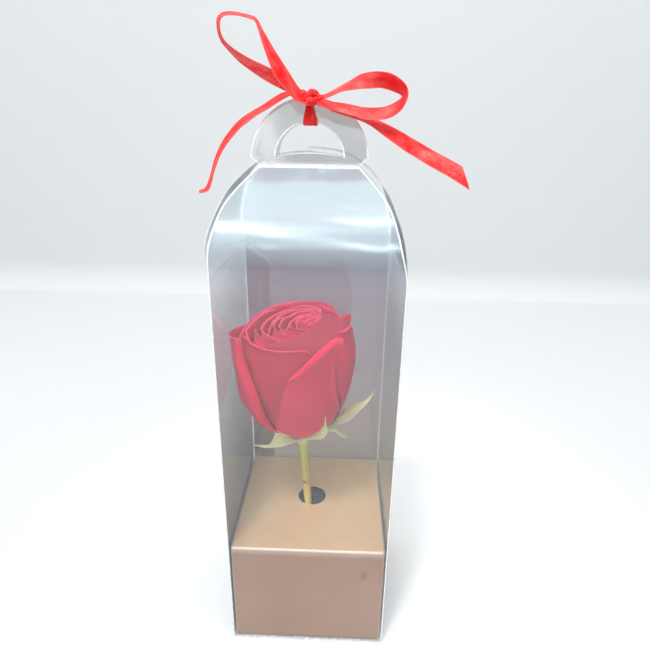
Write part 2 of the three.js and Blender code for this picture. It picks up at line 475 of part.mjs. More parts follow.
const TAIL_LEFT = [
  [[-7.4, 0.6, 256.2], [-7.1, -2.2, 255.0]], [[-9.6, 1.0, 256.3], [-8.9, -2.8, 254.9]],
  [[-12.9, 1.1, 255.8], [-11.5, -4.2, 253.6]], [[-16.3, 0.7, 253.9], [-14.6, -5.1, 251.7]],
  [[-20.3, 0.4, 251.4], [-18.3, -5.6, 249.5]], [[-24.3, -0.2, 249.2], [-22.2, -6.2, 247.3]],
  [[-27.9, -1.0, 247.0], [-25.5, -6.8, 244.9]], [[-31.1, -1.8, 244.4], [-28.4, -7.6, 242.7]],
  [[-33.8, -2.5, 241.3], [-31.2, -8.5, 239.7]], [[-36.4, -3.2, 237.9], [-33.3, -9.2, 237.2]],
  [[-38.5, -3.8, 234.1], [-35.8, -10.0, 233.6]], [[-40.3, -4.4, 230.0], [-37.6, -10.6, 229.8]],
  [[-41.6, -4.9, 225.7], [-39.1, -11.1, 225.9]], [[-43.0, -5.3, 221.8], [-40.3, -11.5, 221.8]],
  [[-44.5, -5.7, 219.3], [-41.8, -11.9, 219.1]], [[-46.9, -6.1, 218.4], [-45.1, -12.3, 218.2]],
];
add('ribbon_loop_left', strip(LOOP_LEFT), 'ribbon');
add('ribbon_loop_right', strip(LOOP_RIGHT), 'ribbon');
add('ribbon_tail_right', strip(TAIL_RIGHT), 'ribbon');
add('ribbon_tail_left', strip(TAIL_LEFT), 'ribbon');

// Knot in front of the handle's top, and the band that goes round both handle plates.
const KNOT = V(-0.9, -6.0, 254.2);
const knot = mergeVertices((() => {
  const g = new THREE.SphereGeometry(1, 14, 10);
  g.deleteAttribute('normal'); g.deleteAttribute('uv');
  return g;
})(), 1e-4);
knot.scale(4.1, 3.2, 3.5).translate(KNOT.x, KNOT.y, KNOT.z);
add('ribbon_knot', knot, 'ribbon');

const band = new THREE.Shape();           // drawn in the YZ plane, y to the right
const BAND = [[-4.35, 246.0], [-4.3, 244.25], [0, 244.0], [4.3, 244.25], [4.35, 246.0], [1.78, 255.2],
  [0.9, 256.0], [-0.9, 256.0], [-1.78, 255.2]];
BAND.forEach(([y, z], i) => (i ? band.lineTo(y, z) : band.moveTo(y, z)));
band.closePath();
const inside = new THREE.Path();
const BAND_IN = [[-3.98, 246.0], [-3.95, 244.62], [0, 244.37], [3.95, 244.62], [3.98, 246.0], [1.42, 255.05],
  [0.7, 255.63], [-0.7, 255.63], [-1.42, 255.05]];
BAND_IN.forEach(([y, z], i) => (i ? inside.lineTo(y, z) : inside.moveTo(y, z)));
inside.closePath();
band.holes.push(inside);
const bandG = new THREE.ExtrudeGeometry(band, { depth: 5, bevelEnabled: false });
bandG.translate(0, 0, -2.5);
bandG.applyMatrix4(new THREE.Matrix4().makeBasis(V(0, 1, 0), V(0, 0, 1), V(1, 0, 0)));
bandG.translate(-1.3, 0, 0);
add('ribbon_band', bandG, 'ribbon');

export default root;
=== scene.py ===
import math

import bpy
import numpy as np
from mathutils import Matrix, Vector


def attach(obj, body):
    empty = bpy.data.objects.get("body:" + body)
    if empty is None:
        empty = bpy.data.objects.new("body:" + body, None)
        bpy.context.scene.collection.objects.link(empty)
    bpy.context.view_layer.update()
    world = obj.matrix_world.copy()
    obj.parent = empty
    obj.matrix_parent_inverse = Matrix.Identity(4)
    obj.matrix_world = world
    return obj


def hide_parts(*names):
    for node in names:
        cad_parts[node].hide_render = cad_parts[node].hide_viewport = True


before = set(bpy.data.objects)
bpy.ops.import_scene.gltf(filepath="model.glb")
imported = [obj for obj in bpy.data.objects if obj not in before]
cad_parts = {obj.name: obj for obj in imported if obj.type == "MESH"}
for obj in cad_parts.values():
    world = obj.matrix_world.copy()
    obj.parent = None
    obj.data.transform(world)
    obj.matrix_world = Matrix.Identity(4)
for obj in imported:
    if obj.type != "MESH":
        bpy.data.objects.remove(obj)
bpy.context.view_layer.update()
MM = 0.001
scene = bpy.context.scene


# ------------------------------------------------------------------ small helpers
def arr(*a):
    return np.array(a, float)


def smooth(x, a, b):
    t = np.clip((np.asarray(x, float) - a) / (b - a), 0, 1)
    return t * t * (3 - 2 * t)


def unit(v):
    n = np.linalg.norm(v, axis=-1, keepdims=True)
    return v / np.maximum(n, 1e-9)


def spline(points, n=None, ts=None):
    """A smooth line through points (rows of any width), sampled at n even places or at ts in 0..1."""
    P = np.asarray(points, float)
    m = len(P)
    if ts is None:
        ts = np.linspace(0, 1, n)
    x = np.clip(np.asarray(ts, float), 0, 1) * (m - 1)
    i = np.minimum(x.astype(int), m - 2)
    t = (x - i)[:, None]
    p0 = P[np.maximum(i - 1, 0)]
    p1 = P[i]
    p2 = P[i + 1]
    p3 = P[np.minimum(i + 2, m - 1)]
    return 0.5 * (2 * p1 + (p2 - p0) * t + (2 * p0 - 5 * p1 + 4 * p2 - p3) * t**2 + (3 * p1 - p0 - 3 * p2 + p3) * t**3)


def table(rows, x):
    """Smooth look-up in [[x, y], ...] with no overshoot between rows."""
    R = np.asarray(rows, float)
    xs, ys = R[:, 0], R[:, 1]
    d = np.diff(ys) / np.diff(xs)
    m = np.zeros(len(xs))
    m[1:-1] = np.where(d[:-1] * d[1:] > 0, 2 * d[:-1] * d[1:] / np.where(d[:-1] + d[1:] == 0, 1, d[:-1] + d[1:]), 0)
    m[0], m[-1] = d[0], d[-1]
    x = np.clip(np.asarray(x, float), xs[0], xs[-1])
    i = np.clip(np.searchsorted(xs, x, side="right") - 1, 0, len(xs) - 2)
    h = xs[i + 1] - xs[i]
    t = (x - xs[i]) / h
    return (
        (2 * t**3 - 3 * t**2 + 1) * ys[i]
        + (t**3 - 2 * t**2 + t) * h * m[i]
        + (-2 * t**3 + 3 * t**2) * ys[i + 1]
        + (t**3 - t**2) * h * m[i + 1]
    )


def normals(P):
    du = np.gradient(P, axis=1)
    dv = np.gradient(P, axis=0)
    return unit(np.cross(du, dv))


def make(name, verts, faces, mats, replaces=(), fmat=None, uv=None, attrs=None, flat=False):
    """A mesh piece from points in mm and faces, riding on the object."""
    me = bpy.data.meshes.new(name)
    verts = np.asarray(verts, float) * MM
    me.vertices.add(len(verts))
    me.vertices.foreach_set("co", verts.astype(np.float32).ravel())
    sizes = np.array([len(f) for f in faces], np.int32)
    starts = np.concatenate([[0], np.cumsum(sizes)[:-1]]).astype(np.int32)
    loops = np.concatenate([np.asarray(f, np.int32) for f in faces]).astype(np.int32)
    me.loops.add(len(loops))
    me.polygons.add(len(faces))
    me.polygons.foreach_set("loop_start", starts)
    me.polygons.foreach_set("loop_total", sizes)
    me.loops.foreach_set("vertex_index", loops)
    if fmat is not None:
        me.polygons.foreach_set("material_index", np.asarray(fmat, np.int32))
    me.update(calc_edges=True)
    me.validate()
    if uv is not None:
        layer = me.uv_layers.new(name="UVMap")
        idx = np.zeros(len(me.loops), np.int32)
        me.loops.foreach_get("vertex_index", idx)
        layer.data.foreach_set("uv", np.asarray(uv, np.float32)[idx].ravel())
    for key, values in (attrs or {}).items():
        a = me.attributes.new(key, "FLOAT", "POINT")
        a.data.foreach_set("value", np.asarray(values, np.float32))
    me.polygons.foreach_set("use_smooth", np.full(len(me.polygons), not flat))
    for m in mats:
        me.materials.append(m)
    o = bpy.data.objects.new(name, me)
    scene.collection.objects.link(o)
    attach(o, "root")
    if replaces:
        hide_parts(*replaces)
    return o


def sheet_mesh(P, thick, rim=0.5, uvs=None, attrs=None, loop=False):
    """Closed solid round a grid of middle points P[row, col]. thick is a number or a grid. Its rim is
    rounded by one extra ring. loop joins the last column to the first. Returns verts, faces, uv,
    attrs and, for each face, whether it lies on the rim."""
    R, C, _ = P.shape
    if loop:
        W = np.concatenate([P[:, -1:], P, P[:, :1]], 1)
        N = normals(W)[:, 1:-1]
    else:
        N = normals(P)
    T = np.broadcast_to(np.asarray(thick, float), (R, C))[..., None] / 2
    top, bot = P + N * T, P - N * T
    V = [top.reshape(-1, 3), bot.reshape(-1, 3)]
    if uvs is None:
        uu, vv = np.meshgrid(np.linspace(0, 1, C), np.linspace(0, 1, R))
        uvs = np.stack([uu, vv], -1)
    UV = [uvs.reshape(-1, 2)] * 2
    A = {k: [np.broadcast_to(v, (R, C)).reshape(-1)] * 2 for k, v in (attrs or {}).items()}
    side = [np.ones(R * C), np.zeros(R * C)]
    t = lambda j, i: j * C + i
    b = lambda j, i: R * C + j * C + i
    faces, onrim = [], []
    cols = C if loop else C - 1
    for j in range(R - 1):
        for i in range(cols):
            k = (i + 1) % C
            faces.append((t(j, i), t(j, k), t(j + 1, k), t(j + 1, i)))
            faces.append((b(j, i), b(j + 1, i), b(j + 1, k), b(j, k)))
    onrim += [0] * len(faces)
    # the ring of rim points, in order round the sheet
    if loop:
        rings = [([(0, i) for i in range(C)], True, -1), ([(R - 1, i) for i in range(C)], True, 1)]
    else:
        ring = [(0, i) for i in range(C)] + [(j, C - 1) for j in range(1, R)]
        ring += [(R - 1, i) for i in range(C - 2, -1, -1)] + [(j, 0) for j in range(R - 2, 0, -1)]
        rings = [(ring, True, 0)]
    count = 2 * R * C
    for ring, closed, which in rings:
        pts = np.array([P[j, i] for j, i in ring])
        th = np.array([T[j, i, 0] for j, i in ring])
        if which == 0:
            inward = []
            for j, i in ring:
                jj = 1 if j == 0 else (R - 2 if j == R - 1 else j)
                ii = 1 if i == 0 else (C - 2 if i == C - 1 else i)
                inward.append(P[jj, ii] - P[j, i])
            out = -unit(np.array(inward))
        else:
            jj = 1 if which < 0 else R - 2
            out = -unit(np.array([P[jj, i] - P[j, i] for j, i in ring]))
        V.append(pts + out * th[:, None] * 2 * rim * 0.6)
        UV.append(np.array([uvs[j, i] for j, i in ring]))
        for k in A:
            v = np.broadcast_to((attrs or {})[k], (R, C))
            A[k].append(np.array([v[j, i] for j, i in ring]))
        side.append(np.full(len(ring), 0.5))
        n = len(ring)
        for q in range(n):
            w = (q + 1) % n
            (j0, i0), (j1, i1) = ring[q], ring[w]
            a, c = count + q, count + w
            quads = [(t(j0, i0), a, c, t(j1, i1)), (a, b(j0, i0), b(j1, i1), c)]
            if which > 0:
                quads = [tuple(reversed(f)) for f in quads]
            faces += quads
            onrim += [1, 1]
        count += n
    A["side"] = side
    return (
        np.concatenate(V),
        faces,
        np.concatenate(UV),
        {k: np.concatenate(v) for k, v in A.items()},
        np.array(onrim),
    )


# ------------------------------------------------------------------ camera
cam_data = bpy.data.cameras.new("camera")
cam = bpy.data.objects.new("camera", cam_data)
scene.collection.objects.link(cam)
scene.camera = cam
cam_data.sensor_width = 36.0
cam_data.sensor_fit = "HORIZONTAL"
cam_data.lens = 508.425 / 650 * 36
cam_data.clip_start, cam_data.clip_end = 0.01, 20
CAM_YAW, CAM_PITCH, CAM_ROLL = math.radians(-1.702976), math.radians(21.3337), math.radians(-0.78973)
CAM_POS = arr(12.2705, -220.028, 243.7139)
look = arr(math.sin(CAM_YAW) * math.cos(CAM_PITCH), math.cos(CAM_YAW) * math.cos(CAM_PITCH), -math.sin(CAM_PITCH))
right0 = arr(math.cos(CAM_YAW), -math.sin(CAM_YAW), 0)
down0 = np.cross(look, right0)
right = math.cos(CAM_ROLL) * right0 + math.sin(CAM_ROLL) * down0
down = -math.sin(CAM_ROLL) * right0 + math.cos(CAM_ROLL) * down0
m = Matrix.Identity(4)
for r in range(3):
    m[r][0], m[r][1], m[r][2], m[r][3] = right[r], -down[r], -look[r], CAM_POS[r] * MM
cam.matrix_world = m


# ------------------------------------------------------------------ node helpers
class Tree:
    """Short names for building a node material."""

    def __init__(self, name):
        self.mat = bpy.data.materials.new(name)
        self.mat.use_nodes = True
        self.nt = self.mat.node_tree
        self.nt.nodes.clear()
        self.out = self.nt.nodes.new("ShaderNodeOutputMaterial")

    def node(self, kind, **kw):
        n = self.nt.nodes.new("ShaderNode" + kind)
        for k, v in kw.items():
            setattr(n, k, v)
        return n

    def link(self, a, b):
        self.nt.links.new(a, b)

    def val(self, socket, v):
        if hasattr(v, "is_output") or isinstance(v, bpy.types.NodeSocket):
            self.link(v, socket)
        else:
            socket.default_value = v

    def attr(self, name):
        return self.node("Attribute", attribute_name=name).outputs["Fac"]

    def uv(self, scale=(1, 1, 1), loc=(0, 0, 0), rot=(0, 0, 0)):
        u = self.node("UVMap")
        mp = self.node("Mapping")
        self.link(u.outputs["UV"], mp.inputs["Vector"])
        mp.inputs["Scale"].default_value = scale
        mp.inputs["Location"].default_value = loc
        mp.inputs["Rotation"].default_value = rot
        return mp.outputs["Vector"]

    def obj(self, scale=(1, 1, 1), loc=(0, 0, 0), rot=(0, 0, 0)):
        u = self.node("TexCoord")
        mp = self.node("Mapping")
        self.link(u.outputs["Object"], mp.inputs["Vector"])
        mp.inputs["Scale"].default_value = scale
        mp.inputs["Location"].default_value = loc
        mp.inputs["Rotation"].default_value = rot
        return mp.outputs["Vector"]

    def axis(self, vector, which):
        n = self.node("SeparateXYZ")
        self.link(vector, n.inputs[0])
        return n.outputs[which]

    def noise(self, vec, scale=5.0, detail=3.0, rough=0.5, dist=0.0):
        n = self.node("TexNoise")
        self.link(vec, n.inputs["Vector"])
        n.inputs["Scale"].default_value = scale
        n.inputs["Detail"].default_value = detail
        n.inputs["Roughness"].default_value = rough
        n.inputs["Distortion"].default_value = dist
        return n.outputs["Fac"]

    def voronoi(self, vec, scale=5.0, feature="F1"):
        n = self.node("TexVoronoi", feature=feature)
        self.link(vec, n.inputs["Vector"])
        n.inputs["Scale"].default_value = scale
        return n.outputs["Distance"]

    def wave(self, vec, scale=5.0, dist=0.0, detail=2.0, direction="X", profile="SIN"):
        n = self.node("TexWave", bands_direction=direction, wave_profile=profile)
        self.link(vec, n.inputs["Vector"])
        n.inputs["Scale"].default_value = scale
        n.inputs["Distortion"].default_value = dist
        n.inputs["Detail"].default_value = detail
        return n.outputs["Fac"]

    def math(self, op, a, b=0.0, clamp=False):
        n = self.node("Math", operation=op, use_clamp=clamp)
        self.val(n.inputs[0], a)
        self.val(n.inputs[1], b)
        return n.outputs[0]

    def ramp(self, fac, lo, hi, a=0.0, b=1.0):
        n = self.node("MapRange", clamp=True)
        self.val(n.inputs["Value"], fac)
        n.inputs["From Min"].default_value = lo
        n.inputs["From Max"].default_value = hi
        n.inputs["To Min"].default_value = a
        n.inputs["To Max"].default_value = b
        return n.outputs["Result"]

    def mix(self, fac, a, b, blend="MIX"):
        n = self.node("Mix", data_type="RGBA", blend_type=blend)
        self.val(n.inputs["Factor"], fac)
        for s, v in ((n.inputs["A"], a), (n.inputs["B"], b)):
            pass
        ia = [s for s in n.inputs if s.name == "A" and s.type == "RGBA"][0]
        ib = [s for s in n.inputs if s.name == "B" and s.type == "RGBA"][0]
        self.val(ia, a if not isinstance(a, tuple) else (*a, 1.0)[:4])
        self.val(ib, b if not isinstance(b, tuple) else (*b, 1.0)[:4])
        return [s for s in n.outputs if s.type == "RGBA"][0]

    def bump(self, height, strength=0.2, distance=0.0005, normal=None):
        n = self.node("Bump")
        n.inputs["Strength"].default_value = strength
        n.inputs["Distance"].default_value = distance
        self.link(height, n.inputs["Height"])
        if normal is not None:
            self.link(normal, n.inputs["Normal"])
        return n.outputs["Normal"]

    def principled(self, color=None, rough=None, normal=None, **kw):
        n = self.node("BsdfPrincipled")
        if color is not None:
            self.val(n.inputs["Base Color"], color if not isinstance(color, tuple) else (*color, 1.0)[:4])
        if rough is not None:
            self.val(n.inputs["Roughness"], rough)
        if normal is not None:
            self.link(normal, n.inputs["Normal"])
        for k, v in kw.items():
            n.inputs[k.replace("_", " ")].default_value = v
        return n

    def done(self, shader):
        self.link(shader, self.out.inputs["Surface"])
        return self.mat


def srgb(r, g, b):
    f = lambda c: ((c / 255 + 0.055) / 1.055) ** 2.4 if c > 10 else c / 255 / 12.92
    return (f(r), f(g), f(b))


# ------------------------------------------------------------------ materials
def film_material(name, tint, low=None, high=None, haze=0.02, veil=0.0, rough=0.06, gain=1.0, wave=0.12, deep=None, rise=(0.188, 0.207), graze=0.70):
    """Thin clear film: see-through with a faint grey tint, a little milky haze with fine scuffs, and
    a reflection that grows towards grazing angles. The tint may differ near the bottom (low) and in
    the arched top (high), where the film is also a little milkier (veil). A darker low tint is painted shade and a
    lighter high tint is painted light."""
    t = Tree(name)
    o = t.obj()
    scuff = t.noise(o, 900, 4, 0.6)
    cloud = t.noise(o, 38, 3, 0.55)
    drag = t.noise(t.obj(scale=(1, 1, 0.12), rot=(0, 0.25, 0)), 260, 3, 0.6)
    z = t.axis(o, "Z")
    arch = t.ramp(z, *rise)
    milk = t.math("MULTIPLY", t.ramp(cloud, 0.35, 0.7, 0.75, 1.25), haze)
    if veil:
        streak = t.noise(t.obj(scale=(0.15, 1, 1.6)), 90, 3, 0.6)
        milk = t.math("ADD", milk, t.math("MULTIPLY", arch, t.ramp(streak, 0.3, 0.75, veil * 0.7, veil * 1.35)))
    marks = t.math("MULTIPLY", t.ramp(drag, 0.68, 0.80, 0.0, 1.0), t.ramp(scuff, 0.45, 0.62, 0.0, 0.10))
    milk = t.math("ADD", milk, marks)
    facing = t.node("LayerWeight")
    facing.inputs["Blend"].default_value = 0.5
    bumped = t.bump(t.noise(o, 22, 2, 0.5), wave, 0.0010)
    t.link(bumped, facing.inputs["Normal"])
    schlick = t.math("POWER", facing.outputs["Facing"], 5.0)
    fres = t.math("ADD", t.math("MULTIPLY", schlick, graze), 0.05 * gain)
    total = t.math("ADD", fres, milk, clamp=True)
    share = t.math("DIVIDE", milk, t.math("ADD", total, 0.0001), clamp=True)
    clear = t.node("BsdfTransparent")
    clear.inputs["Color"].default_value = (*tint, 1)
    color = None
    # painted shade and light: a separate tint near the bottom and in the arched top
    if low is not None:
        color = t.mix(t.ramp(z, 0.06, 0.15), low, tint)
    if high is not None:
        color = t.mix(arch, color if color is not None else tint, high)
    if deep is not None:
        color = t.mix(t.ramp(facing.outputs["Facing"], 0.78, 0.97), color if color is not None else tint, deep)
    if color is not None:
        t.link(color, clear.inputs["Color"])
    gloss = t.principled((0.95, 0.97, 1.0), rough, bumped, Metallic=1.0)
    milky = t.principled((0.80, 0.94, 0.98), 0.5, bumped)
    body = t.node("MixShader")
    t.link(share, body.inputs["Fac"])
    t.link(gloss.outputs[0], body.inputs[1])
    t.link(milky.outputs[0], body.inputs[2])
    both = t.node("MixShader")
    t.link(total, both.inputs["Fac"])
    t.link(clear.outputs[0], both.inputs[1])
    t.link(body.outputs[0], both.inputs[2])
    return t.done(both.outputs[0])


def edge_highlight_material(name, color, amount):
    """The cut edges and creases of the film, as pale bands: partly the whitened cut edge, partly a painted highlight.
    """
    t = Tree(name)
    o = t.obj()
    n = t.noise(o, 420, 3, 0.6)
    fac = t.ramp(n, 0.3, 0.7, amount * 0.7, min(1.0, amount * 1.2))
    clear = t.node("BsdfTransparent")
    body = t.principled(t.mix(n, color, tuple(min(1, c * 1.05) for c in color)), 0.25, None)
    mixs = t.node("MixShader")
    t.link(fac, mixs.inputs["Fac"])
    t.link(clear.outputs[0], mixs.inputs[1])
    t.link(body.outputs[0], mixs.inputs[2])
    return t.done(mixs.outputs[0])


# painted shade: all panels are the same film, yet the left, right and back panels get far darker tints than the front,
# darker again near the bottom and lighter in the arched top where light falls
FILM_FRONT = film_material("film_front", (0.965, 0.95, 0.95), high=(0.88, 0.92, 0.94), haze=0.007, veil=0.05, rough=0.18, gain=1.2, rise=(0.183, 0.203))
FILM_LEFT = film_material("film_left", (0.71, 0.72, 0.72), low=(0.30, 0.30, 0.295), high=(0.97, 0.97, 0.98), haze=0.02, veil=0.05, rise=(0.160, 0.186))
FILM_RIGHT = film_material("film_right", (0.58, 0.58, 0.57), low=(0.56, 0.535, 0.49), high=(0.88, 0.89, 0.90), haze=0.02, rise=(0.158, 0.186))
FILM_BACK = film_material("film_back", (0.585, 0.54, 0.58), low=(0.50, 0.47, 0.435), high=(0.92, 0.96, 0.98), haze=0.02, veil=0.05, rise=(0.172, 0.204))
FILM_FLAP = film_material("film_flap", (0.90, 0.85, 0.86), low=(0.66, 0.64, 0.64), haze=0.01)
FILM_TOP = film_material("film_top", (0.92, 0.93, 0.94), haze=0.012, veil=0.02, deep=(0.22, 0.26, 0.28), graze=0.40)
FILM_HANDLE = film_material("film_handle", (0.87, 0.86, 0.85), haze=0.05, rough=0.12, gain=0.8)
FILM_BOTTOM = film_material("film_bottom", (0.8, 0.8, 0.81), haze=0.03)
# painted highlight: pale bands on the film's cut edges, folds and creases, partly the whitened cut edge itself
EDGE_HIGHLIGHT = edge_highlight_material("film_edge_highlight", (0.95, 0.97, 1.0), 0.85)
EDGE_SOFT_HIGHLIGHT = edge_highlight_material("film_edge_soft_highlight", (0.93, 0.95, 0.98), 0.40)
EDGE_FAINT_HIGHLIGHT = edge_highlight_material("film_edge_faint_highlight", (0.90, 0.92, 0.95), 0.16)
EDGE_FOLD_HIGHLIGHT = EDGE_HIGHLIGHT
CREASE_HIGHLIGHT = edge_highlight_material("film_crease_highlight", (0.90, 0.91, 0.94), 0.22)
DARK = edge_highlight_material("film_edge_shade", (0.22, 0.24, 0.27), 0.40)


def petal_material(name, deep, mid, pale_vein_and_rim_highlight, back, tuck_painted_shade=(0.08, 0.001, 0.005)):
    """Velvety petal: fine veins that fan from the base, soft mottling, painted shade on the inside low down,
    a paler margin that is a painted rim highlight, a painted shadow line where the next petal lies on it
    (tuck_painted_shade), sheen."""
    t = Tree(name)
    side = t.attr("side")
    edge = t.attr("edge")
    high = t.attr("high")
    veins = t.noise(t.uv(scale=(30, 1.3, 1)), 3.0, 4, 0.6, 0.35)
    fine = t.noise(t.uv(scale=(110, 5, 1)), 2.0, 3, 0.6)
    cloud = t.noise(t.obj(), 110, 3, 0.55)
    grain = t.noise(t.obj(), 1500, 2, 0.5)
    body = t.mix(t.ramp(cloud, 0.3, 0.7, 0.0, 1.0), deep, mid)
    body = t.mix(t.ramp(veins, 0.42, 0.68, 0.0, 0.45), body, pale_vein_and_rim_highlight)
    body = t.mix(t.ramp(fine, 0.45, 0.75, 0.0, 0.22), body, deep)
    # painted shade: the face towards the bloom's axis is darkened low down, deep in the cup
    inner = t.mix(t.ramp(high, 0.55, 0.95, 0.35, 0.0), body, deep)
    body = t.mix(side, inner, t.mix(0.35, body, back))
    # painted highlight: the colour is paled along the petal's margin
    body = t.mix(t.ramp(edge, 0.0, 1.0, 0.0, 0.8), body, pale_vein_and_rim_highlight)
    # painted shadow: a dark line where the next petal lies over this one
    body = t.mix(t.attr("tuck_painted_shade"), body, tuck_painted_shade)
    h = t.math("ADD", t.math("MULTIPLY", veins, 0.7), t.math("MULTIPLY", fine, 0.3))
    nrm = t.bump(h, 0.35, 0.0004, t.bump(grain, 0.25, 0.0001))
    p = t.principled(
        body, t.ramp(grain, 0.3, 0.7, 0.5, 0.66), nrm,
        Sheen_Weight=0.12, Sheen_Roughness=0.4, Subsurface_Weight=0.5, Subsurface_Scale=0.0012,
    )
    p.inputs["Sheen Tint"].default_value = (1.0, 0.3, 0.4, 1)
    p.inputs["Subsurface Radius"].default_value = (1.0, 0.12, 0.14)
    p.inputs["Specular IOR Level"].default_value = 0.2
    return t.done(p.outputs[0])


PETAL_OUT = petal_material("petal_outer", (0.88, 0.004, 0.048), (1.0, 0.009, 0.085), (1.0, 0.06, 0.19), (0.90, 0.035, 0.13))
# painted shade: the next two are darker copies of the outer petal colours, for the front-left petal and the petal
# folded in over the bud, standing in for the shade they lie in
PETAL_OUT_SHADED = petal_material("petal_outer_shaded", (0.52, 0.003, 0.032), (0.62, 0.007, 0.056), (1.0, 0.05, 0.16), (0.72, 0.026, 0.10))
PETAL_COVER_SHADED = petal_material("petal_cover_shaded", (0.29, 0.003, 0.023), (0.36, 0.005, 0.040), (0.72, 0.04, 0.12), (0.50, 0.016, 0.06))
PETAL_IN = petal_material("petal_inner", (1.0, 0.012, 0.085), (1.0, 0.024, 0.130), (1.0, 0.13, 0.26), (1.0, 0.035, 0.15))


def leaf_material(name, dark, pale, rim):
    t = Tree(name)
    edge = t.attr("edge")
    mid = t.attr("mid")
    veins = t.noise(t.uv(scale=(9, 2.2, 1)), 4.0, 4, 0.6, 0.6)
    grain = t.noise(t.obj(), 900, 3, 0.6)
    body = t.mix(t.ramp(veins, 0.35, 0.7), dark, pale)
    body = t.mix(t.ramp(grain, 0.4, 0.7, 0.0, 0.3), body, pale)
    body = t.mix(t.ramp(mid, 0.0, 1.0, 0.0, 0.5), body, pale)
    body = t.mix(t.ramp(edge, 0.0, 1.0, 0.0, 0.75), body, rim)
    nrm = t.bump(veins, 0.4, 0.0004, t.bump(grain, 0.2, 0.0001))
    p = t.principled(body, t.ramp(grain, 0.3, 0.7, 0.4, 0.62), nrm, Subsurface_Weight=0.15, Subsurface_Scale=0.001)
    p.inputs["Subsurface Radius"].default_value = (0.6, 1.0, 0.3)
    return t.done(p.outputs[0])


SEPAL = leaf_material("sepal_leaf", (0.62, 0.74, 0.26), (0.92, 1.0, 0.58), (1.0, 1.0, 0.86))


def stem_material():
    t = Tree("stem_green")
    o = t.obj()
    along = t.attr("along")
    streak = t.noise(t.obj(scale=(1, 1, 0.06)), 900, 3, 0.6)
    blotch = t.noise(o, 220, 3, 0.6)
    dots = t.voronoi(o, 520)
    green, tan, pale = (0.76, 0.86, 0.13), (0.95, 0.72, 0.20), (0.76, 0.84, 0.24)
    ramp = t.node("ValToRGB")
    t.link(along, ramp.inputs["Fac"])
    cr = ramp.color_ramp
    cr.elements[0].position, cr.elements[0].color = 0.0, (*pale, 1)
    cr.elements[1].position, cr.elements[1].color = 1.0, (*green, 1)
    for pos, c in ((0.47, pale), (0.60, tan), (0.78, (0.70, 0.62, 0.17))):
        e = cr.elements.new(pos)
        e.color = (*c, 1)
    body = t.mix(t.ramp(streak, 0.4, 0.7, 0.0, 0.35), ramp.outputs["Color"], (0.26, 0.30, 0.08))
    body = t.mix(t.ramp(blotch, 0.58, 0.75, 0.0, 0.5), body, (0.42, 0.24, 0.10))
    body = t.mix(t.ramp(dots, 0.0, 0.16, 0.45, 0.0), body, (0.30, 0.16, 0.07))
    body = t.mix(t.attr("node"), body, (0.20, 0.12, 0.05))
    h = t.math("ADD", streak, t.math("MULTIPLY", dots, 0.4))
    p = t.principled(body, t.ramp(streak, 0.3, 0.7, 0.35, 0.55), t.bump(h, 0.35, 0.0003), Subsurface_Weight=0.1, Subsurface_Scale=0.001)
    p.inputs["Subsurface Radius"].default_value = (0.6, 1.0, 0.3)
    return t.done(p.outputs[0])


STEM = stem_material()


def card_material():
    """Rose-gold metallised card: satin foil over a fine paper grain, with slow waves, a pale line along
    each fold that is partly worn foil and partly a painted highlight, and a few rubbed spots. The sides are painted
    darker than the top: painted shade."""
    t = Tree("rose_gold_card")
    o = t.obj()
    fold = t.attr("fold")
    grain = t.noise(o, 2600, 3, 0.6)
    brushed = t.noise(t.obj(scale=(1.0, 1.0, 0.04)), 700, 3, 0.6)
    slow = t.noise(o, 26, 2, 0.5)
    rub = t.noise(o, 210, 4, 0.65)
    specks = t.voronoi(o, 210)
    base, warm, dull = (1.0, 0.69, 0.38), (1.0, 0.84, 0.50), (0.90, 0.61, 0.37)
    body = t.mix(t.ramp(slow, 0.3, 0.7), base, warm)
    body = t.mix(t.ramp(rub, 0.5, 0.72, 0.0, 0.35), body, dull)
    # painted shade: everything below the top surface gets a much darker foil colour, standing in for the sides catching
    # less light than the top
    side = t.ramp(t.axis(o, "Z"), 0.0568, 0.0576)
    body = t.mix(side, t.mix(t.ramp(slow, 0.3, 0.7), (0.385, 0.208, 0.116), (0.46, 0.26, 0.153)), body)
    body = t.mix(t.ramp(specks, 0.0, 0.035, 0.6, 0.0), body, (0.86, 0.74, 0.66))
    body = t.mix(t.ramp(grain, 0.45, 0.7, 0.0, 0.18), body, (0.85, 0.66, 0.52))
    body = t.mix(t.attr("spot"), body, (0.32, 0.11, 0.045))
    # painted highlight, partly real wear: the fold mask pales the foil and makes it a little glossier
    body = t.mix(t.ramp(fold, 0.0, 1.0, 0.0, 0.85), body, (1.0, 0.88, 0.76))
    body = t.mix(t.attr("paper"), body, (0.88, 0.84, 0.80))
    h = t.math("ADD", t.math("MULTIPLY", grain, 0.35), t.math("MULTIPLY", brushed, 0.25))
    nrm = t.bump(h, 0.25, 0.00012, t.bump(slow, 0.5, 0.0012))
    rough = t.math("ADD", t.ramp(rub, 0.3, 0.75, 0.36, 0.52), t.math("MULTIPLY", fold, -0.08))
    p = t.principled(body, rough, nrm, Coat_Weight=0.15, Coat_Roughness=0.35)
    t.link(t.math("SUBTRACT", 0.35, t.math("MULTIPLY", t.attr("paper"), 0.35)), p.inputs["Metallic"])
    return t.done(p.outputs[0])


CARD = card_material()


def foam_material():
    t = Tree("floral_foam")
    o = t.obj()
    cells = t.voronoi(o, 900)
    cells2 = t.voronoi(o, 2100)
    big = t.noise(o, 160, 4, 0.6)
    body = t.mix(t.ramp(cells, 0.0, 0.6), (0.006, 0.010, 0.007), (0.036, 0.050, 0.036))
    body = t.mix(t.ramp(big, 0.4, 0.7, 0.0, 0.7), body, (0.072, 0.088, 0.072))
    h = t.math("ADD", cells, t.math("MULTIPLY", cells2, 0.4))
    return t.done(t.principled(body, t.ramp(big, 0.3, 0.7, 0.75, 0.95), t.bump(h, 0.9, 0.0008)).outputs[0])


FOAM = foam_material()


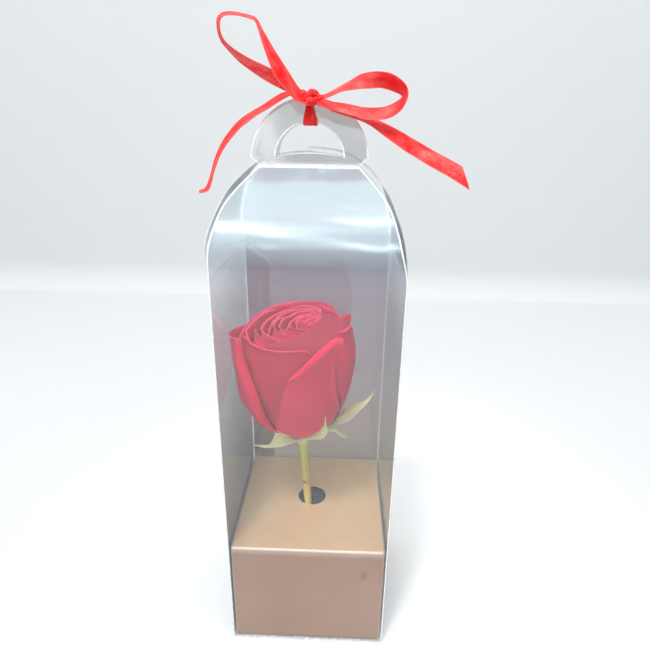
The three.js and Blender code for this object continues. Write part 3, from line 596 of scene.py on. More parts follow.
def ribbon_material():
    """Red satin: long fine warp threads with a painted silky highlight across them, woven margins, and a
    few painted bright glints where the weave catches the light. The UV map is in millimetres: across, along."""
    t = Tree("red_satin")
    warp = t.wave(t.uv(scale=(1, 1, 1)), 3.4, 0.6, 2, "X")
    weft = t.wave(t.uv(scale=(1, 1, 1)), 2.1, 0.4, 2, "Y")
    long = t.noise(t.uv(scale=(2.2, 0.10, 1)), 1.6, 3, 0.6)
    soft = t.noise(t.uv(scale=(0.25, 0.12, 1)), 1.0, 2, 0.5)
    glint = t.noise(t.uv(scale=(2.4, 1.2, 1)), 2.3, 2, 0.5)
    margin = t.attr("edge")
    thread = t.noise(t.uv(scale=(9.0, 0.35, 1)), 1.2, 3, 0.7)
    body = t.mix(t.ramp(long, 0.35, 0.65), (0.82, 0.003, 0.005), (1.0, 0.012, 0.014))
    body = t.mix(t.ramp(soft, 0.35, 0.65, 0.0, 0.5), body, (1.0, 0.06, 0.055))
    body = t.mix(t.ramp(weft, 0.6, 1.0, 0.0, 0.12), body, (0.55, 0.004, 0.008))
    # painted sheen: pale thread streaks mixed into the colour, strongest where glint is marked
    sheen = t.math("MULTIPLY", t.ramp(thread, 0.46, 0.66), t.ramp(soft, 0.42, 0.58, 0.10, 0.85))
    body = t.mix(t.math("MULTIPLY", sheen, t.ramp(t.attr("glint"), 0.0, 0.5, 0.42, 0.95)), body, (1.0, 0.36, 0.33))
    # painted glints: pale specks mixed into the colour where glint is marked
    body = t.mix(t.math("MULTIPLY", t.ramp(glint, 0.60, 0.70), t.attr("glint")), body, (1.0, 0.62, 0.60))
    body = t.mix(t.ramp(margin, 0.2, 1.0, 0.0, 0.6), body, (1.0, 0.16, 0.14))
    h = t.math("ADD", t.math("MULTIPLY", warp, 0.5), t.math("MULTIPLY", weft, 0.5))
    nrm = t.bump(h, 0.35, 0.00006, t.bump(long, 0.35, 0.0003))
    p = t.principled(
        body, t.ramp(long, 0.3, 0.7, 0.30, 0.46), nrm,
        Anisotropic=0.45, Sheen_Weight=0.06, Sheen_Roughness=0.35,
    )
    p.inputs["Specular IOR Level"].default_value = 0.22
    p.inputs["Specular Tint"].default_value = (1.0, 0.5, 0.5, 1)
    p.inputs["Sheen Tint"].default_value = (1.0, 0.4, 0.4, 1)
    return t.done(p.outputs[0])


RIBBON = ribbon_material()

# ------------------------------------------------------------------ rose frame
BACK = arr(-0.18, 2.11, -1.13)      # the flower stands this much back from the front film
ROSE = arr(-4.5, -6.0, 99.0) + BACK
AXIS = unit(arr(-0.05, -0.06, 1.0))
ROSE_X = unit(arr(1, 0, 0) - AXIS * AXIS[0])
ROSE_Y = np.cross(AXIS, ROSE_X)


def place(x, y, z):
    x, y, z = np.broadcast_arrays(x, y, z)
    return ROSE + x[..., None] * ROSE_X + y[..., None] * ROSE_Y + z[..., None] * AXIS


def to_rose(p):
    d = np.asarray(p, float) - ROSE
    return d @ ROSE_X, d @ ROSE_Y, d @ AXIS


H_REF, CENTRE_X, CENTRE_Y = 64, 9.4, 10.0


def cup(az, z, rho, q, lean=0.0):
    """The nested cups that the petals lie on: a cone at the base, full in the middle, drawn in at
    the top by lean. The smaller cups sit further right and back, which brings the heart there."""
    z = np.asarray(z, float)
    t = np.clip(z / H_REF, 0, 1)
    r = rho * (1 - (1 - t) ** 2.3) ** q * (1 - 0.58 * np.clip(1 - z / 15, 0, 1) ** 1.35)
    r = r * (1 - lean * smooth(z, 46, 66))
    off = (1 - rho / 28.2) * z / H_REF
    a = np.radians(az)
    return place(CENTRE_X * off + r * np.cos(a), CENTRE_Y * off + 0.94 * r * np.sin(a), z)


def roll(S, axis, end, arc, radius):
    """Rolls a margin of the surface grid S outward. axis 0 rolls the top (last row), axis 1 the side
    columns; end is -1 for the last and 0 for the first. arc is the length rolled and radius its
    radius, numbers or one for each line."""
    G = S if axis == 0 else np.swapaxes(S, 0, 1)
    G = G if end == -1 else G[::-1]
    R, C, _ = G.shape
    arc = np.broadcast_to(np.asarray(arc, float), (C,))
    radius = np.broadcast_to(np.asarray(radius, float), (C,))
    out = G.copy()
    N = OUTWARD(S)
    N = N if axis == 0 else np.swapaxes(N, 0, 1)
    N = N if end == -1 else N[::-1]
    for c in range(C):
        if arc[c] <= 0.02:
            continue
        line = G[:, c]
        seg = np.linalg.norm(np.diff(line, axis=0), axis=1)
        s = np.concatenate([[0], np.cumsum(seg)])
        total = s[-1]
        a = min(arc[c], total * 0.45)
        s0 = total - a
        p0 = np.array([np.interp(s0, s, line[:, k]) for k in range(3)])
        pm = np.array([np.interp(s0 - 0.8, s, line[:, k]) for k in range(3)])
        n0 = unit(np.array([np.interp(s0, s, N[:, c, k]) for k in range(3)]))
        T = unit(p0 - pm)
        n0 = unit(n0 - T * np.dot(n0, T))
        rr = radius[c]
        for r_ in range(R):
            if s[r_] > s0:
                phi = (s[r_] - s0) / rr
                out[r_, c] = p0 + T * rr * math.sin(phi) + n0 * rr * (1 - math.cos(phi))
    out = out if end == -1 else out[::-1]
    return out if axis == 0 else np.swapaxes(out, 0, 1)


def OUTWARD(S):
    """Unit normals of S pointing away from the bloom's axis."""
    N = normals(S)
    x, y, z = to_rose(S.reshape(-1, 3))
    radial = (x[:, None] * ROSE_X + y[:, None] * ROSE_Y).reshape(S.shape)
    flip = np.sign((N * radial).sum(-1, keepdims=True))
    s = np.sign(flip.mean()) or 1
    return N * s


def inside_box(S):
    """Eases a surface away from the left and the front film."""
    S = S.copy()
    for k in (0, 1):
        d = S[..., k] + 36.45
        S[..., k] = np.where(d < 1.4, 1.4 * np.exp(np.minimum(d, 1.4) / 1.4 - 1), d) - 36.45
    return S


def petal_piece(n, S, mat, thick=0.32, margin=1.6, tuck_painted_shade=None):
    """Closed petal from its middle surface, with margin and height attributes for the material."""
    S = inside_box(S)
    R, C, _ = S.shape
    dv = np.concatenate([[0], np.cumsum(np.linalg.norm(np.diff(S[:, C // 2], axis=0), axis=1))])
    du = np.concatenate([[0], np.cumsum(np.linalg.norm(np.diff(S[int(R * 0.75)], axis=0), axis=1))])
    to_top = dv[-1] - dv
    to_side = np.minimum(du, du[-1] - du)
    d = np.minimum(to_top[:, None], to_side[None, :] + 0.4)
    edge = np.clip(1 - d / margin, 0, 1)
    high = np.broadcast_to((dv / dv[-1])[:, None], (R, C))
    # thinner towards the margin, thick at the base
    T = thick * (0.55 + 0.45 * np.clip(d / 6, 0, 1)) + 0.3 * (1 - smooth(high, 0.0, 0.12))
    shade = np.zeros((R, C)) if tuck_painted_shade is None else tuck_painted_shade
    if (OUTWARD(S) * normals(S)).sum() < 0:
        S, edge, high, T, shade = S[:, ::-1], edge[:, ::-1], high[:, ::-1], T[:, ::-1], shade[:, ::-1]
    v, f, uv, a, rim = sheet_mesh(S, T, attrs={"edge": edge, "high": high, "tuck_painted_shade": shade})
    name = f"petal_{n:02d}"
    return make("rose_" + name, v, f, [mat], [name], uv=uv, attrs=a)


def rows(nv, near_top=0.45, share=0.8):
    """Places from 0 to 1 with near_top of them in the last part beyond share."""
    n1 = int(nv * (1 - near_top))
    return np.concatenate([np.linspace(0, share, n1), np.linspace(share, 1, nv - n1 + 1)[1:]])


def ruffle(S, seed, amp, waves=3.0, start=0.6):
    """Slow waves near the top margin."""
    R, C, _ = S.shape
    rng = np.random.default_rng(seed)
    N = OUTWARD(S)
    u = np.linspace(0, 1, C)[None, :]
    v = np.linspace(0, 1, R)[:, None]
    w = np.zeros((R, C))
    for k in range(1, 5):
        w = w + rng.normal() / k * np.sin(2 * np.pi * (waves * k / 2 * u + rng.random()) + 2.0 * v * rng.normal())
    return S + N * (amp * w * smooth(v, start, 1.0))[..., None]


# ------------------------------------------------------------------ outer petals
def margin_petal(left, right, top, rho, q, z0, lean=0.0, nu=49, nv=61, poke=None):
    """A petal on a cup between two margins given as [[z, azimuth], ...] and a top given as
    [[across, z], ...], across running from -1 at the left margin to 1 at the right. rho, q and lean
    are numbers or [[azimuth, value], ...]. poke pushes one tip outward: azimuth, width, amount."""
    U, Vv = np.meshgrid(np.linspace(-1, 1, nu), rows(nv))
    zt = table(top, U)
    Z = z0 + (zt - z0) * Vv
    L, Rr = table(left, Z), table(right, Z)
    A = L + (Rr - L) * (U + 1) / 2
    pick = lambda p: table(p, A) if isinstance(p, list) else p
    S = cup(A, Z, pick(rho), pick(q), pick(lean))
    if poke:
        a = np.radians(A)
        w = poke[2] * np.exp(-(((A - poke[0]) / poke[1]) ** 2)) * smooth(Z, 55, 64.5)
        S = S + ((np.cos(a))[..., None] * ROSE_X + (np.sin(a))[..., None] * ROSE_Y) * w[..., None]
    return S


pieces = []

# front right, its slanted top margin rolled out in a thick band
NU = 61
U1 = np.linspace(-1, 1, NU)
R1 = 0.9 + 0.9 * smooth(U1, -1.0, -0.1)
ARC1 = R1 * (1.5 + 1.9 * smooth(U1, -1.0, -0.7))
CREST1 = table([[-1, 49.2], [-0.54, 54.7], [-0.08, 59.3], [0.415, 64.0], [0.69, 65.8], [1, 65.4]], U1)
S = margin_petal(
    [[4.5, -141], [10, -134], [15, -126], [24.2, -112.8], [33.5, -104], [42.8, -97.5], [48, -93.6], [54, -92]],
    [[4.5, 0], [10, -7], [15, -14], [25, -31], [40.4, -47.5], [53, -51], [60, -49.5], [64, -46], [70, -42]],
    np.column_stack([U1, CREST1 - R1 + ARC1]).tolist(), 28.2, 0.62, 4.0, nu=NU, nv=89,
)
S = S + OUTWARD(S) * (1.1 * smooth(U1, 0.78, 1.0)[None, :] * smooth(np.linspace(0, 1, 89), 0.15, 0.4)[:, None])[..., None]
S = roll(S, 0, -1, ARC1, R1)
pieces.append(petal_piece(1, S, PETAL_OUT, 0.36, 1.2))

# left, its front margin rolled out in a scroll
NV = 73
zrow = 3.8 + 59 * rows(NV)
RM = table([[4, 0.35], [12, 0.8], [20, 1.5], [30, 2.5], [42, 2.5], [54, 2.0], [63, 1.7]], zrow)
ARCM = RM * table([[4, 0.6], [12, 1.6], [22, 2.8], [63, 3.0]], zrow)
crest = [[4, 216], [10, 226], [16, 232], [29.5, 237], [41, 235], [49, 230.5], [56.5, 225], [66, 224]]
marg = [[z, table(crest, z) + (table(np.column_stack([zrow, ARCM - RM]).tolist(), z)) / (26.0 * (0.35 + 0.65 * float(smooth(z, 2, 22)))) * 57.3] for z in (4, 8, 12, 16, 22, 29.5, 36, 41, 49, 56.5, 62, 66)]
marg = [[float(a), float(b)] for a, b in marg]
S = margin_petal(
    [[3.8, 168], [12, 160], [25, 150], [45, 142], [60, 140]], marg,
    [[-1, 57.0], [-0.62, 59.6], [-0.3, 61.0], [0.0, 62.6], [0.3, 64.2], [0.6, 65.4], [1, 65.6]],
    [[140, 27.6], [178, 29.0], [205, 29.2], [224, 27.9], [250, 27.8]], [[140, 0.46], [200, 0.42], [225, 0.60], [250, 0.62]], 3.8,
    [[140, 0.16], [165, 0.10], [185, 0.02], [250, 0.0]], nu=65, nv=NV,
)
x, y, z = to_rose(S.reshape(-1, 3))
w = (1.6 * np.exp(-(((z - 31) / 7.5) ** 2)) * np.exp(-(((np.degrees(np.arctan2(y, x)) % 360 - 195) / 26) ** 2))).reshape(S.shape[:2])
S = S + OUTWARD(S) * w[..., None]
S = roll(S, 1, -1, ARCM, RM)
S = roll(S, 0, -1, 1.7 * (1 - smooth(np.linspace(-1, 1, 65), 0.72, 0.9)), 0.75)
pieces.append(petal_piece(2, S, PETAL_OUT, 0.34, 1.4))

# right, behind the rolled petal, its rim falling away to the back
S = margin_petal(
    [[4.5, -60], [40, -60], [56, -54], [66, -50]],
    [[4.5, 40], [30, 50], [60, 50]],
    [[-1, 61], [-0.8, 64.6], [-0.6, 66.6], [-0.43, 66.6], [-0.27, 65.2], [-0.1, 61.6], [0.2, 57.0], [0.55, 53.8], [1, 51]],
    [[-62, 26.2], [-44, 26.3], [-28, 28.0], [50, 28.0]], 0.60, 4.5, 0.10, nu=53, nv=65,
)
S = roll(S, 0, -1, 2.3 * smooth(np.linspace(-1, 1, 53), -0.9, -0.6) * (1 - 0.62 * smooth(np.linspace(-1, 1, 53), -0.42, -0.05)), 0.95)
# painted shadow: a dark strip on this petal just beside the margin of the front right petal that lies over it
x, y, z = to_rose(S)
over = table([[4.5, 0], [10, -7], [15, -14], [25, -31], [40.4, -47.5], [53, -51], [60, -49.5], [64, -46], [70, -42]], z)
gap = (np.degrees(np.arctan2(y / 0.94, x)) - over) * 0.47
tuck_painted_shade3 = 0.97 * (1 - smooth(gap, 1.2, 3.4))
pieces.append(petal_piece(3, S, PETAL_OUT, 0.34, 1.4, tuck_painted_shade3))

# back left, leaning in
S = margin_petal(
    [[4.8, 88], [30, 82], [62, 80]],
    [[4.8, 170], [30, 178], [62, 182]],
    [[-1, 67.2], [-0.72, 67.4], [-0.29, 66.6], [0.14, 64.6], [0.57, 61.4], [1, 57]],
    26.8, 0.56, 4.8, [[80, 0.36], [120, 0.29], [140, 0.22], [160, 0.14], [182, 0.08]], nu=49, nv=57,
)
S = roll(ruffle(S, 4, 0.3), 0, -1, 1.5, 0.9)
pieces.append(petal_piece(4, S, PETAL_OUT, 0.34, 1.4))

# front left, with a fine curled lip
S = margin_petal(
    [[5, -160], [12, -148], [24.5, -139], [36, -140], [46, -143], [53, -146], [60, -143.5], [66, -141]],
    [[5, -62], [66, -56]],
    [[-1, 66.2], [-0.83, 65.9], [-0.64, 64.1], [-0.386, 63.4], [-0.135, 63.1], [0.16, 63.1], [0.41, 63.2], [0.6, 61.4], [0.77, 57.5], [1, 48]],
    26.6, 0.63, 5.0, 0.02, nu=61, nv=69,
)
S = roll(ruffle(S, 5, 0.08), 0, -1, 1.5 * (1 - 0.4 * smooth(np.linspace(-1, 1, 61), 0.4, 0.7)), 0.58)
# painted shade: this petal takes a darker copy of the outer petal colours
pieces.append(petal_piece(5, S, PETAL_OUT_SHADED, 0.36, 1.0))

# back right, leaning in, with a pointed tip that turns out
S = margin_petal(
    [[6, 26], [40, 10], [66, 4]],
    [[6, 108], [63, 114]],
    [[-1, 61.5], [-0.9, 65.6], [-0.8, 64.0], [-0.55, 65.8], [-0.05, 67.4], [0.5, 67.4], [1, 66]],
    25.6, 0.66, 6.0, [[4, 0.20], [30, 0.22], [60, 0.29], [90, 0.35], [114, 0.34]], nu=57, nv=57, poke=(9, 4.5, 4.6),
)
pieces.append(petal_piece(6, ruffle(S, 6, 0.22), PETAL_OUT, 0.34, 1.4))

# front, folding in over the right half of the bud: its rim runs from the front lip to the heart
nu, nv = 65, 69
U = np.linspace(-1, 1, nu)
Vv = np.linspace(0, 1, nv)[:, None] * np.ones((1, nu))
rim = spline(
    [[-21.5, -29.5, 157.5], [-16.2, -28.6, 159.8], [-10.7, -26.3, 160.6], [-5.1, -21.6, 161.0], [-1.8, -16.8, 161.3],
     [1.6, -11.0, 161.8], [4.0, -3.4, 162.6], [3.8, 3.0, 163.2], [2.6, 9.5, 163.6]], n=nu) + BACK
az = np.linspace(-118, 2, nu)
zb = 54 + 3.0 * smooth(U, -1, -0.4)
Z = 6.4 + (zb[None, :] - 6.4) * np.clip(Vv / 0.72, 0, 1)
S = cup(np.broadcast_to(az, (nv, nu)), Z, 24.8, 0.66)
b0 = cup(az, zb, 24.8, 0.66)
b1 = cup(az, zb - 1.0, 24.8, 0.66)
T0 = unit(b0 - b1)
span = np.linalg.norm(rim - b0, axis=1)[:, None]
s = np.clip((Vv - 0.72) / 0.28, 0, 1)[..., None]
flat_in = rim - b0
flat_in = unit(flat_in - np.outer(flat_in @ AXIS, AXIS) * 0.85)
H = (
    (2 * s**3 - 3 * s**2 + 1) * b0
    + (s**3 - 2 * s**2 + s) * (T0 * span * 1.1)
    + (-2 * s**3 + 3 * s**2) * rim
    + (s**3 - s**2) * (flat_in * span * 0.9)
)
S = np.where(s > 0, H, S)
# painted shade: this petal takes a much darker copy of the outer petal colours
pieces.append(petal_piece(7, S, PETAL_COVER_SHADED, 0.32, 0.8))

# the two next ones at the left and the back
S = margin_petal(
    [[6, 128], [62, 122]], [[6, 222], [62, 226]],
    [[-1, 64.5], [-0.4, 63.6], [0.1, 62.6], [0.5, 62.2], [1, 60]],
    24.4, 0.62, 6.0, [[122, 0.26], [160, 0.16], [190, 0.10], [226, 0.06]], nu=49, nv=57,
)
S = roll(ruffle(S, 8, 0.3), 0, -1, 1.1, 0.7)
pieces.append(petal_piece(8, S, PETAL_IN, 0.3, 0.8))
S = margin_petal(
    [[7.5, 2], [62, -4]], [[7.5, 100], [62, 106]],
    [[-1, 61.5], [-0.5, 64.8], [0, 65.8], [0.5, 66.2], [1, 65.4]],
    23.4, 0.68, 7.5, [[-4, 0.16], [30, 0.22], [60, 0.29], [106, 0.33]], nu=49, nv=57,
)
S = roll(ruffle(S, 9, 0.28), 0, -1, 1.1, 0.7)
pieces.append(petal_piece(9, S, PETAL_IN, 0.3, 0.8))

# ------------------------------------------------------------------ inner spiral
rim_xy = rim[:, :2]


def under_cover(S):
    """Presses the part of an inner petal that lies beyond the folded-in rim under that petal."""
    P = S.reshape(-1, 3).copy()
    d = np.linalg.norm(P[:, None, :2] - rim_xy[None], axis=2)
    k = d.argmin(1)
    t = unit(np.gradient(rim_xy, axis=0))[k]
    rel = P[:, :2] - rim_xy[k]
    beyond = -(t[:, 0] * rel[:, 1] - t[:, 1] * rel[:, 0])
    cap = 160.2 + BACK[2] - 0.10 * np.clip(beyond, 0, 30) - 2.6 * smooth(beyond, 8, 18)
    low = np.minimum(P[:, 2], cap)
    w = smooth(beyond, -0.6, 0.8)
    P[:, 2] = P[:, 2] * (1 - w) + low * w
    return P.reshape(S.shape)


az, rho = -100.0, 22.3
for k in range(17):
    hw = 94 + 2.0 * k if k < 7 else min(106 + (k - 7) * 5, 150)
    z0 = 8 + 0.45 * k
    nu, nv = (61, 49) if k < 12 else (65, 45)
    U, Vv = np.meshgrid(np.linspace(-1, 1, nu), rows(nv, 0.5, 0.7))
    rng = np.random.default_rng(100 + k)
    A1 = np.radians(az + U * hw)
    back = np.clip(np.sin(A1), 0, 1)
    top = 62.4 - 0.10 * k + 4.0 * back * (rho / 24)
    ztop = top - 7.0 * np.abs(U) ** 6.0 * min(1, rho / 12) + 0.45 * np.sin(3.1 * U + rng.random() * 6)
    Z = z0 + (ztop - z0) * Vv
    spread = hw * (0.42 + 0.58 * smooth(Z, z0, z0 + 20))
    A = az + U * spread
    lean = 0.10 + 0.06 * rng.random() + 0.22 * np.clip(np.sin(np.radians(A)), 0, 1)
    S = cup(A, Z, rho, 0.7, lean)
    S = ruffle(S, 200 + k, 0.36 if rho > 6 else 0.2, 3.0, 0.62)
    S = under_cover(S)
    if rho > 3.5:
        S = roll(S, 0, -1, 0.9 + 0.4 * rng.random(), 0.6)
    pieces.append(petal_piece(10 + k, S, PETAL_IN, 0.26, 0.7))
    az += 137.5
    rho -= 1.28 if k < 12 else 1.12

# ------------------------------------------------------------------ stem, receptacle, sepals
STEM_LOW, STEM_HOLE = arr(0.35, -2.0, 20), arr(-1.9, -2.6, 58)
STEM_TOP = place(0, 0, -1.6)
ctrl = STEM_HOLE * 2 - (STEM_LOW + STEM_TOP) / 2
ts = np.linspace(0, 1, 90)
line = ((1 - ts) ** 2)[:, None] * STEM_LOW + (2 * ts * (1 - ts))[:, None] * ctrl + (ts**2)[:, None] * STEM_TOP
radii = table([[0, 1.9], [0.25, 1.9], [0.5, 1.88], [0.62, 2.02], [0.75, 2.24], [0.87, 2.5], [1.0, 2.85]], ts)
tang = unit(np.gradient(line, axis=0))
sx = unit(arr(1, 0, 0) - tang * tang[:, :1])
sy = np.cross(tang, sx)
sides = 40
ang = np.linspace(0, 2 * np.pi, sides, endpoint=False)
knob = np.exp(-(((line[:, 2] - 72.5) / 1.1) ** 2))
rr = radii[:, None] * (1 + 0.025 * np.sin(5 * ang)[None] + 0.02 * np.sin(2 * ang + 9 * ts[:, None]))
rr = rr + 0.28 * knob[:, None] * np.clip(np.cos(ang + 1.9), 0, 1)[None] + 0.10 * knob[:, None]
P = line[:, None] + sx[:, None] * (rr * np.cos(ang))[..., None] + sy[:, None] * (rr * np.sin(ang))[..., None]
verts = np.concatenate([P.reshape(-1, 3), [line[0] + arr(0, 0, 0.2)], [line[-1]]])
faces = []
for j in range(len(ts) - 1):
    for i in range(sides):
        k = (i + 1) % sides
        faces.append((j * sides + i, j * sides + k, (j + 1) * sides + k, (j + 1) * sides + i))
a, b = len(verts) - 2, len(verts) - 1
for i in range(sides):
    k = (i + 1) % sides
    faces.append((a, k, i))
    faces.append((b, (len(ts) - 1) * sides + i, (len(ts) - 1) * sides + k))
along = np.concatenate([np.repeat(ts, sides), [0], [1]])
nodeband = np.concatenate([(knob[:, None] * np.clip(np.cos(ang + 1.9), 0, 1)[None] ** 2 * 0.9).reshape(-1), [0], [0]])
make("rose_stem", verts, faces, [STEM], ["stem"], attrs={"along": along, "node": nodeband})

# the receptacle, ribbed, with small lobes where the sepals part
prof = spline([[2.95, -1.7], [3.0, -1.0], [3.3, 0.0], [4.0, 1.2], [4.45, 2.4], [4.3, 3.4], [3.2, 3.7], [1.2, 3.75]], n=26)
sides = 60
ang = np.linspace(0, 2 * np.pi, sides, endpoint=False)
bulge = 1 + 0.035 * np.cos(5 * ang)[None] * smooth(prof[:, 1], -1.0, 2.0)[:, None]
X = prof[:, :1] * bulge * np.cos(ang)
Y = prof[:, :1] * bulge * np.sin(ang)
P = place(X, Y, np.broadcast_to(prof[:, 1:], X.shape))
verts = np.concatenate([P.reshape(-1, 3), [place(0, 0, -1.55)], [place(0, 0, 3.75)]])
faces = []
n = len(prof)
for j in range(n - 1):
    for i in range(sides):
        k = (i + 1) % sides
        faces.append((j * sides + i, j * sides + k, (j + 1) * sides + k, (j + 1) * sides + i))
a, b = len(verts) - 2, len(verts) - 1
for i in range(sides):
    k = (i + 1) % sides
    faces.append((a, k, i))
    faces.append((b, (n - 1) * sides + i, (n - 1) * sides + k))
uv = np.concatenate([np.stack([np.tile(ang / 6.28, n), np.repeat(np.linspace(0, 1, n), sides)], -1), [[0, 0]], [[0, 1]]])
zero = np.zeros(len(verts))
make("rose_receptacle", verts, faces, [SEPAL], ["hip"], uv=uv, attrs={"edge": zero, "mid": zero})

# each sepal between its two edges, from the receptacle to the tip
SEPALS = [
    ([[-4.6, -8.0, 100.2], [-5.2, -10.5, 101.2], [-7.3, -13.2, 101.5], [-12.1, -16.0, 101.3], [-19.2, -16.6, 100.4], [-23.4, -15.6, 99.9], [-27.6, -14.0, 99.8]],
     [[-6.9, -7.2, 102.4], [-9.4, -11.0, 105.6], [-12.4, -15.2, 109.4], [-15.5, -17.6, 111.1], [-17.3, -17.8, 106.9], [-19.4, -17.2, 102.7], [-23.4, -15.8, 101.1], [-27.6, -14.0, 99.8]], 1),
    ([[-1.6, -9.0, 100.4], [3.0, -10.4, 103.0], [7.4, -10.8, 108.2], [11.0, -11.5, 111.5], [13.9, -11.7, 111.9], [18.3, -11.2, 113.6], [21.4, -10.6, 116.8], [24.9, -10.0, 120.3], [27.7, -9.5, 123.8], [30.1, -9.0, 129.3]],
     [[-0.6, -6.4, 101.4], [3.6, -7.2, 104.2], [7.8, -7.4, 108.6], [11.4, -6.8, 112.2], [14.2, -6.0, 115.1], [17.8, -6.0, 118.3], [22.7, -7.0, 120.8], [26.6, -8.0, 123.7], [30.1, -9.0, 129.3]], 1),
    ([[-3.4, -9.6, 100.4], [-1.6, -12.2, 102.4], [1.0, -15.0, 104.6], [3.8, -18.2, 107.0], [6.0, -20.2, 109.0], [7.6, -21.6, 111.6], [8.4, -22.5, 114.3], [8.0, -23.3, 117.2], [7.6, -23.9, 120.2], [7.4, -24.3, 123.1], [7.2, -24.7, 125.3]],
     [[-4.6, -9.4, 102.0], [-2.4, -12.0, 104.8], [0.1, -14.8, 107.2], [2.7, -18.2, 110.9], [4.7, -20.8, 114.2], [5.9, -22.1, 116.2], [6.6, -22.6, 117.3], [6.95, -23.4, 119.3], [7.1, -24.0, 121.5], [7.15, -24.4, 123.5], [7.2, -24.7, 125.3]], 1),
    ([[-1.4, -7.8, 100.0], [3.2, -9.6, 102.8], [8.2, -10.6, 106.5], [11.8, -10.6, 106.3], [14.5, -10.0, 103.6], [16.6, -9.5, 102.4], [17.9, -9.0, 103.1]],
     [[-0.8, -5.6, 101.0], [3.4, -7.4, 104.6], [7.6, -8.8, 109.0], [11.0, -9.0, 109.1], [14.5, -8.8, 105.5], [17.0, -8.9, 103.6], [17.9, -9.0, 103.1]], 1),
    ([[-6.0, -4.2, 100.2], [-6.2, 1.0, 101.0], [-6.0, 7.0, 102.4], [-4.0, 13.5, 106.0], [-1.0, 18.5, 110.0], [2.0, 22.0, 113.5]],
     [[-2.2, -3.6, 100.6], [0.2, 1.6, 101.4], [2.0, 7.6, 102.6], [3.2, 13.0, 105.8], [3.0, 18.0, 109.8], [2.0, 22.0, 113.5]], -1),
]
for n, (e1, e2, sgn) in enumerate(SEPALS):
    nt, nc = 65, 17
    t = np.linspace(0, 1, nt) ** 1.05
    a, b = spline(e1, ts=t) + BACK, spline(e2, ts=t) + BACK
    x = np.linspace(0, 1, nc)
    S = a[:, None] * (1 - x)[None, :, None] + b[:, None] * x[None, :, None]
    N = normals(S + np.random.default_rng(1).normal(size=S.shape) * 1e-6) * sgn
    w = np.linalg.norm(b - a, axis=1)[:, None]
    xx = 2 * x - 1
    rng = np.random.default_rng(50 + n)
    fold = -0.16 * (1 - np.abs(xx))[None] * w + 0.05 * w * np.sin(t * 8 + rng.random() * 6)[:, None] * (xx**2)[None] * np.sign(xx)[None]
    veins = 0.05 * np.sin((t[:, None] * 26 - np.abs(xx)[None] * 5)) * (1 - np.abs(xx))[None]
    fade = smooth(t, 0.0, 0.08)[:, None] * smooth(1 - t, 0.0, 0.06)[:, None]
    S = S + N * ((fold + veins) * fade)[..., None]
    edge = np.broadcast_to(smooth(np.abs(xx), 0.70, 1.0)[None], (nt, nc))
    mid = np.broadcast_to(np.exp(-((xx / 0.12) ** 2))[None], (nt, nc))
    T = 0.20 + 0.22 * (1 - np.abs(xx))[None] + 0.30 * np.exp(-((xx[None] / 0.18) ** 2)) * (1 - t[:, None])
    v, f, uv, at, rim_ = sheet_mesh(S, T * np.ones((nt, nc)), attrs={"edge": edge, "mid": mid, "tip": np.broadcast_to(t[:, None], (nt, nc))})
    make(f"rose_sepal_{n + 1}", v, f, [SEPAL], [f"sepal_{n + 1}"], uv=uv, attrs=at)


# ------------------------------------------------------------------ card platform and foam
def rounded_square(half_x, y0, y1, r, n_side, n_corner):
    """Points round a rectangle with small round corners, and the outward direction at each."""
    pts, out = [], []
    corners = [(half_x - r, y0 + r, -90), (half_x - r, y1 - r, 0), (-half_x + r, y1 - r, 90), (-half_x + r, y0 + r, 180)]
    for q, (cx, cy, a0) in enumerate(corners):
        for i in range(n_corner + 1):
            a = math.radians(a0 + 90 * i / n_corner)
            pts.append((cx + r * math.cos(a), cy + r * math.sin(a)))
            out.append((math.cos(a), math.sin(a)))
        nx, ny, a1 = corners[(q + 1) % 4]
        a = math.radians(a0 + 90)
        e0 = (cx + r * math.cos(a), cy + r * math.sin(a))
        e1 = (nx + r * math.cos(math.radians(a1)), ny + r * math.sin(math.radians(a1)))
        for i in range(1, n_side):
            s_ = i / n_side
            pts.append((e0[0] + (e1[0] - e0[0]) * s_, e0[1] + (e1[1] - e0[1]) * s_))
            out.append((math.cos(a), math.sin(a)))
    return np.array(pts), np.array(out)


CH, CY0, CY1, CTOP, CBOT = 36.5, -36.5, 36.1, 58.0, 1.5
FR = 1.15                                   # fold radius along the top
outline, outward = rounded_square(CH, CY0, CY1, 1.3, 34, 4)
M = len(outline)
HOLE_Y = 2.4
azs = np.arctan2(outline[:, 1] - HOLE_Y, outline[:, 0])
rings, fold, paper = [], [], []


def ring(points, f, pap):
    rings.append(points)
    fold.append(np.broadcast_to(f, (M,)))
    paper.append(np.broadcast_to(pap, (M,)))


# pale vertical corners: partly wear, partly a painted highlight where light catches them
corner_wear_and_highlight = np.exp(-((np.abs(np.abs(outward[:, 0]) - 0.707) / 0.25) ** 2))
for z in np.concatenate([[CBOT, CBOT + 0.15], np.linspace(4, 54, 26)]):
    belly = 0.0
    ring(np.column_stack([outline, np.full(M, z)]), 0.65 * corner_wear_and_highlight, 0.0)
for k in range(0, 9):
    a = math.pi / 2 * k / 8
    inset = FR * (1 - math.cos(a))
    z = CTOP - FR + FR * math.sin(a)
    # the fold mask peaks partway round the rounded top fold: partly worn foil, partly a painted highlight
    f = 0.35 + 0.65 * math.exp(-(((a - 0.8) / 0.5) ** 2))
    ring(np.column_stack([outline - outward * inset, np.full(M, z)]), f, 0.0)
flat_edge = outline - outward * FR
hub = arr(0, HOLE_Y)
hole = np.column_stack([7.5 * np.cos(azs), 7.5 * np.sin(azs)])
for s_ in np.concatenate([[0.02], np.linspace(0.06, 0.94, 22), [0.985, 1.0]]):
    p = flat_edge + (hub + hole - flat_edge) * s_
    ring(np.column_stack([p, np.full(M, CTOP)]), 0.25 * max(0, 1 - s_ / 0.03), 1.0 if s_ > 0.99 else 0.0)
